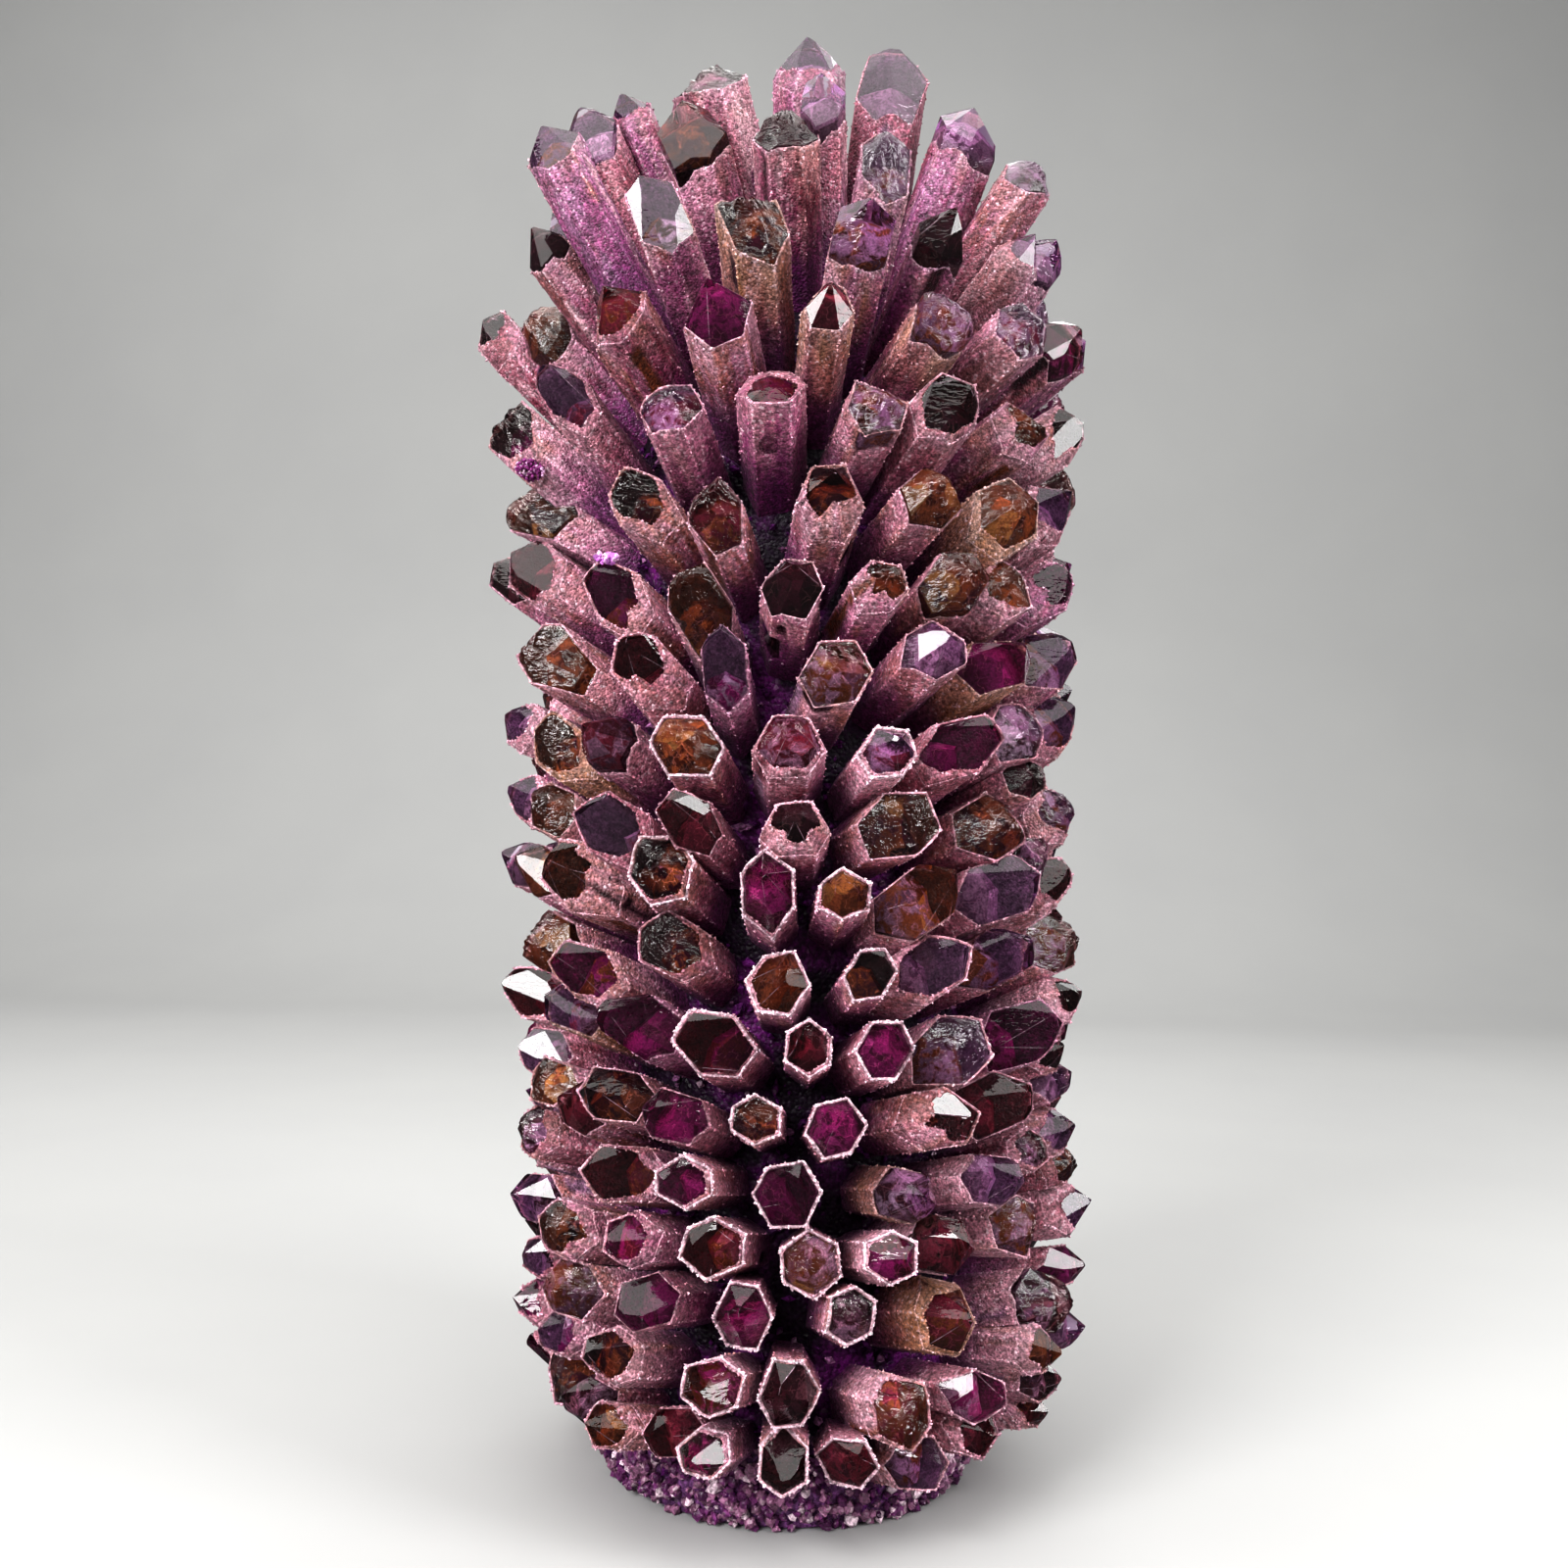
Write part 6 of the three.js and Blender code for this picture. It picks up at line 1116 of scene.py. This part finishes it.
# brighter tufts grown on single points: middle, half sizes, how many, grain size, colour
tufts = Batch()
for middle, half, n, grain, tone in (
    ((-53.5, -70.0, 271.8), (3.4, 2.0, 1.5), 90, (0.45, 0.85), (0.52, 0.17, 0.55)),
    ((-82.0, -31.0, 304.0), (4.6, 1.6, 3.6), 150, (0.35, 0.70), (0.17, 0.020, 0.13)),
):
    spread = rng.normal(size=(n, 3))
    spread = spread / np.linalg.norm(spread, axis=1, keepdims=True) * rng.random((n, 1)) ** 0.4 * np.array(half)
    tone = np.where(rng.random((n, 1)) < 0.82, tone, (0.66, 0.42, 0.62)) * rng.uniform(0.6, 1.25, (n, 1))
    scatter(tufts, LUMP, np.array(middle) + spread, rng.uniform(*grain, n), tone, rng, 0.3, rng.uniform(0.8, 1.4, n))

at, size, shade = np.concatenate(dust_at), np.concatenate(dust_size), np.concatenate(dust_colour)
dust = Batch()
scatter(dust, TETRAHEDRON, at, size, shade, np.random.default_rng(82), 0.3)
at, size, shade = np.concatenate(grain_at), np.concatenate(grain_size), np.concatenate(grain_colour)
grains = {}
for side, part in (("front", at[:, 1] < 0), ("rear", at[:, 1] >= 0)):
    grains[side] = Batch()
    scatter(grains[side], OCTAHEDRON if side == "front" else TETRAHEDRON, at[part], size[part], shade[part], np.random.default_rng(78), 0.3, np.random.default_rng(79).uniform(0.8, 1.7, int(part.sum())))


# ---------------------------------------------------------------- materials
def material(name):
    m = bpy.data.materials.new(name)
    m.use_nodes = True
    nt = m.node_tree
    nt.nodes.clear()
    out = nt.nodes.new("ShaderNodeOutputMaterial")
    shader = nt.nodes.new("ShaderNodeBsdfPrincipled")
    nt.links.new(shader.outputs[0], out.inputs["Surface"])
    return m, nt, shader, out


def node(nt, kind, inputs=None, **props):
    n = nt.nodes.new("ShaderNode" + kind)
    for k, v in props.items():
        setattr(n, k, v)
    for k, v in (inputs or {}).items():
        if isinstance(v, bpy.types.NodeSocket):
            nt.links.new(v, n.inputs[k])
        else:
            n.inputs[k].default_value = v
    return n


def ranged(nt, value, a, b, c, d):
    return node(nt, "MapRange", {"Value": value, "From Min": a, "From Max": b, "To Min": c, "To Max": d}).outputs["Result"]


def scaled(nt, colour, factor):
    n = node(nt, "VectorMath", {0: colour}, operation="SCALE")
    nt.links.new(factor, n.inputs["Scale"])
    return n.outputs["Vector"]


def blended(nt, factor, a, b):
    n = node(nt, "Mix", data_type="RGBA")
    for socket, v in ((n.inputs["Factor"], factor), (n.inputs["A"], a), (n.inputs["B"], b)):
        pass
    nt.links.new(factor, n.inputs[0])
    for idx, v in ((6, a), (7, b)):
        if isinstance(v, bpy.types.NodeSocket):
            nt.links.new(v, n.inputs[idx])
        else:
            n.inputs[idx].default_value = (*v, 1)
    return n.outputs[2]


def druzy(name, grain=1900.0, low=0.52, high=1.70, white=0.16, pale=(0.80, 0.62, 0.69), rough=(0.34, 0.75), bump=0.00026, sheen=0.0, patchy=False, specular=0.4):
    """A sugary crust: the piece's own tint, broken into light and dark grains that stand up and sparkle."""
    m, nt, shader, out = material(name)
    where = node(nt, "TexCoord").outputs["Object"]
    tint = node(nt, "Attribute", attribute_name="tint").outputs["Color"]
    if patchy:
        other = node(nt, "Attribute", attribute_name="tint2").outputs["Color"]
        flow = node(nt, "Attribute", attribute_name="flow").outputs["Vector"]
        long = node(nt, "VectorMath", {0: flow, 1: (1.0, 1.0, 0.30)}, operation="MULTIPLY").outputs[0]
        blot = node(nt, "TexNoise", {"Vector": long, "Scale": 0.22, "Detail": 5.0, "Roughness": 0.62, "Distortion": 0.5}).outputs["Fac"]
        tint = blended(nt, ranged(nt, blot, 0.44, 0.57, 0.0, 1.0), tint, other)
        streak = node(nt, "VectorMath", {0: flow, 1: (1.0, 1.0, 0.06)}, operation="MULTIPLY").outputs[0]
        lines = node(nt, "TexNoise", {"Vector": streak, "Scale": 0.9, "Detail": 2.0}).outputs["Fac"]
        tint = scaled(nt, tint, ranged(nt, lines, 0.35, 0.68, 0.86, 1.14))
        mottle = node(nt, "TexNoise", {"Vector": flow, "Scale": 0.62, "Detail": 3.0, "Roughness": 0.6}).outputs["Fac"]
        tint = scaled(nt, tint, ranged(nt, mottle, 0.30, 0.70, 0.42, 1.50))
    fine = node(nt, "TexNoise", {"Vector": where, "Scale": grain, "Detail": 2.0, "Roughness": 0.65}).outputs["Fac"]
    cells = node(nt, "TexVoronoi", {"Vector": where, "Scale": grain * 0.85, "Randomness": 1.0})
    factor = ranged(nt, fine, 0.30, 0.72, low, high)
    speckle = node(nt, "SeparateColor", {0: cells.outputs["Color"]})
    factor2 = ranged(nt, speckle.outputs[0], 0.0, 1.0, 0.62, 1.38)
    product = node(nt, "Math", {0: factor, 1: factor2}, operation="MULTIPLY").outputs[0]
    body = scaled(nt, tint, product)
    lit = ranged(nt, speckle.outputs[1], 1.0 - white, 1.0 - 0.2 * white, 0.0, 0.75)
    grainy = blended(nt, lit, body, pale)
    # white grains fade where the crust itself is dark
    keep = node(nt, "Math", {0: node(nt, "SeparateColor", {0: tint}).outputs[0], 1: 3.4, 2: -0.42 if patchy else 0.0}, operation="MULTIPLY_ADD", use_clamp=True).outputs[0]
    nt.links.new(blended(nt, keep, body, grainy), shader.inputs["Base Color"])
    nt.links.new(ranged(nt, speckle.outputs[2], 0.0, 1.0, *rough), shader.inputs["Roughness"])
    height = node(nt, "Math", {0: cells.outputs["Distance"], 1: fine}, operation="SUBTRACT").outputs[0]
    relief = node(nt, "Bump", {"Height": height, "Strength": 0.8, "Distance": bump}, invert=True)
    nt.links.new(relief.outputs["Normal"], shader.inputs["Normal"])
    shader.inputs["Specular IOR Level"].default_value = specular
    shader.inputs["IOR"].default_value = 1.54
    if sheen:
        shader.inputs["Sheen Weight"].default_value = sheen
        shader.inputs["Sheen Roughness"].default_value = 0.35
        shader.inputs["Sheen Tint"].default_value = (1.0, 0.82, 0.90, 1)
    return m


def clear(name, absorb, density, broken=False):
    """Bare quartz: clear, tinted by its depth, with faint growth lines and frosting."""
    m, nt, shader, out = material(name)
    where = node(nt, "TexCoord").outputs["Object"]
    frost = node(nt, "TexNoise", {"Vector": where, "Scale": 260.0, "Detail": 3.0, "Roughness": 0.6}).outputs["Fac"]
    nt.links.new(ranged(nt, frost, 0.45, 0.75, 0.01, 0.14 if broken else 0.07), shader.inputs["Roughness"])
    stretch = node(nt, "Mapping", {"Vector": where, "Scale": (1.0, 1.0, 3.2)}).outputs[0]
    lines = node(nt, "TexNoise", {"Vector": stretch, "Scale": 420.0 if broken else 300.0, "Detail": 3.0 if broken else 1.0, "Distortion": 0.6}).outputs["Fac"]
    relief = node(nt, "Bump", {"Height": lines, "Strength": 0.55 if broken else 0.10, "Distance": 0.0008 if broken else 0.0005})
    nt.links.new(relief.outputs["Normal"], shader.inputs["Normal"])
    shader.inputs["Base Color"].default_value = (1, 1, 1, 1)
    shader.inputs["Transmission Weight"].default_value = 1.0
    shader.inputs["IOR"].default_value = 1.544
    depth = node(nt, "VolumeAbsorption")
    depth.inputs["Color"].default_value = (*absorb, 1)
    depth.inputs["Density"].default_value = density
    nt.links.new(depth.outputs[0], out.inputs["Volume"])
    return m


def veiled(name):
    """The older faces inside: dusted, cloudy and streaked, in two colours."""
    m, nt, shader, out = material(name)
    tint = node(nt, "Attribute", attribute_name="tint").outputs["Color"]
    other = node(nt, "Attribute", attribute_name="tint2").outputs["Color"]
    flow = node(nt, "Attribute", attribute_name="flow").outputs["Vector"]
    cloud = node(nt, "TexNoise", {"Vector": flow, "Scale": 0.26, "Detail": 5.0, "Roughness": 0.6, "Distortion": 0.9}).outputs["Fac"]
    dust = node(nt, "TexNoise", {"Vector": flow, "Scale": 1.5, "Detail": 3.0, "Roughness": 0.7}).outputs["Fac"]
    tone = blended(nt, ranged(nt, cloud, 0.44, 0.58, 0.0, 1.0), tint, other)
    bend = node(nt, "Value").outputs[0]
    bend.default_value = 2.4
    # healed cracks: thin, bent, brighter lines
    bent = node(nt, "VectorMath", {0: flow, 1: scaled(nt, node(nt, "TexNoise", {"Vector": flow, "Scale": 0.5, "Detail": 2.0}).outputs["Color"], bend)}, operation="ADD").outputs[0]
    cracks = node(nt, "TexVoronoi", {"Vector": bent, "Scale": 0.30, "Randomness": 1.0}, feature="DISTANCE_TO_EDGE").outputs["Distance"]
    line = node(nt, "Math", {0: ranged(nt, cracks, 0.0, 0.045, 0.75, 0.0), 1: ranged(nt, cloud, 0.46, 0.56, 0.0, 1.0)}, operation="MULTIPLY", use_clamp=True).outputs[0]
    glow = node(nt, "VectorMath", {0: tone, 1: (2.6, 2.6, 2.6)}, operation="MULTIPLY").outputs[0]
    glow = node(nt, "VectorMath", {0: glow, 1: (0.10, 0.05, 0.05)}, operation="ADD").outputs[0]
    tone = blended(nt, line, tone, glow)
    nt.links.new(scaled(nt, tone, ranged(nt, dust, 0.30, 0.70, 0.50, 1.60)), shader.inputs["Base Color"])
    nt.links.new(ranged(nt, cloud, 0.3, 0.7, 0.25, 0.6), shader.inputs["Roughness"])
    relief = node(nt, "Bump", {"Height": dust, "Strength": 0.4, "Distance": 0.0005})
    nt.links.new(relief.outputs["Normal"], shader.inputs["Normal"])
    shader.inputs["Specular IOR Level"].default_value = 0.08  # quartz against quartz hardly reflects
    return m


coat_look = druzy("druzy_coat", grain=1650.0, low=0.50, high=1.56, white=0.11, sheen=0.06, patchy=True, specular=0.32, rough=(0.25, 0.75), bump=0.00034)
crust_look = druzy("dark_crust", grain=900.0, low=0.35, high=1.8, white=0.03, pale=(0.5, 0.36, 0.46), rough=(0.25, 0.7), bump=0.0006, specular=0.2)
foot_look = druzy("foot_crust", grain=900.0, low=0.55, high=1.6, white=0.10, rough=(0.2, 0.6), bump=0.0004)
grain_look = druzy("sugar_grains", grain=1500.0, low=0.7, high=1.4, white=0.12, rough=(0.12, 0.5), bump=0.0002)
inside_look = veiled("sealed_faces")
DEPTHS = {
    "violet": ((0.72, 0.16, 0.50), 90.0),
    "lilac": ((0.70, 0.32, 0.74), 100.0),
    "rose": ((0.80, 0.16, 0.46), 85.0),
    "maroon": ((0.74, 0.20, 0.28), 120.0),
    "amber": ((0.84, 0.38, 0.24), 90.0),
}
glass_looks = {k + end: clear("clear_" + k + end, *v, broken=bool(end)) for k, v in DEPTHS.items() for end in ("", "_broken")}

made = {}
for name in sorted(coats):
    made[name] = coats[name].piece(name, coat_look, "druzy_quartz")
made["crusted_core"] = crust.piece("crusted_core", crust_look, "druzy_quartz")
made["core_druse"] = druse.piece("core_druse", crust_look, "druzy_quartz")
made["foot_granules"] = foot.piece("foot_granules", foot_look, "druzy_quartz")
made["lilac_tufts"] = tufts.piece("lilac_tufts", foot_look, "druzy_quartz")
made["sugar_dust"] = dust.piece("sugar_dust", grain_look, "druzy_quartz")
made["worn_edges"] = worn.piece("worn_edges", grain_look, "clear_tip")
for k, batch in grains.items():
    made["sugar_grains_" + k] = batch.piece("sugar_grains_" + k, grain_look, "druzy_quartz")
for k, batch in glass.items():
    made["tips_" + k] = batch.piece("tips_" + k, glass_looks[k], "clear_tip")
for k, batch in sealed.items():
    made["sealed_" + k] = batch.piece("sealed_" + k, inside_look, "druzy_quartz")
batches = {**coats, "core": crust, "druse": druse, "foot": foot, "tufts": tufts, "dust": dust, "worn": worn, **{"grains_" + k: v for k, v in grains.items()}, **glass, **sealed}
print("TRIANGLES", {k: b.triangles() for k, b in batches.items()}, "ALL", sum(b.triangles() for b in batches.values()))

# ---------------------------------------------------------------- studio
scene = bpy.context.scene
stage_mesh = bpy.data.meshes.new("studio")
sweep, half = [(-3.0, 0.0), (1.0, 0.0)], 4.0
for t in range(1, 13):
    a = math.radians(90 * t / 12)
    sweep.append((1.0 + 0.6 * math.sin(a), 0.6 - 0.6 * math.cos(a)))
sweep.append((1.6, 3.2))
verts = [(x, y, z - 0.0002) for y, z in sweep for x in (-half, half)]
stage_mesh.from_pydata(verts, [], [(2 * k, 2 * k + 1, 2 * k + 3, 2 * k + 2) for k in range(len(sweep) - 1)])
for poly in stage_mesh.polygons:
    poly.use_smooth = True
m, nt, shader, out = material("studio_paper")
shader.inputs["Roughness"].default_value = 0.85
paper = node(nt, "TexNoise", {"Vector": node(nt, "TexCoord").outputs["Object"], "Scale": 6.0, "Detail": 3.0}).outputs["Fac"]
nt.links.new(blended(nt, paper, (0.322, 0.322, 0.322), (0.350, 0.350, 0.346)), shader.inputs["Base Color"])
stage_mesh.materials.append(m)
stage = bpy.data.objects.new("studio", stage_mesh)
scene.collection.objects.link(stage)
stage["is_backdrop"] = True
stage.visible_glossy = False  # the tips mirror a dark room, not the pale floor

world = bpy.data.worlds.new("studio_light")
world.use_nodes = True
world.node_tree.nodes["Background"].inputs["Color"].default_value = (0.93, 0.96, 1.0, 1)
world.node_tree.nodes["Background"].inputs["Strength"].default_value = 0.08
scene.world = world


def soft_box(name, at, to, size, power, colour=(1, 1, 1)):
    data = bpy.data.lights.new(name, "AREA")
    data.shape, data.size, data.size_y, data.energy, data.color = "RECTANGLE", size[0], size[1], power, colour
    ob = bpy.data.objects.new(name, data)
    ob.location = at
    ob.rotation_mode = "QUATERNION"
    ob.rotation_quaternion = (Vector(to) - Vector(at)).to_track_quat("-Z", "Y")
    scene.collection.objects.link(ob)
    return ob


soft_box("overhead", (-0.1, -0.35, 1.35), (0, -0.1, 0.25), (2.6, 2.3), 48.0, (1.0, 0.99, 0.97))
soft_box("front_left", (-0.9, -1.2, 0.95), (0, 0, 0.2), (0.8, 1.0), 37.0)
soft_box("right", (1.1, -0.6, 0.8), (0, 0, 0.22), (0.5, 1.0), 16.0)
soft_box("back", (0.3, 0.9, 1.2), (0, 0, 0.3), (1.0, 0.6), 6.0)

scene.view_settings.view_transform = "Standard"
scene.view_settings.look = "None"
scene.view_settings.exposure = 0.34
scene.view_settings.gamma = 0.81

low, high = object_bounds()
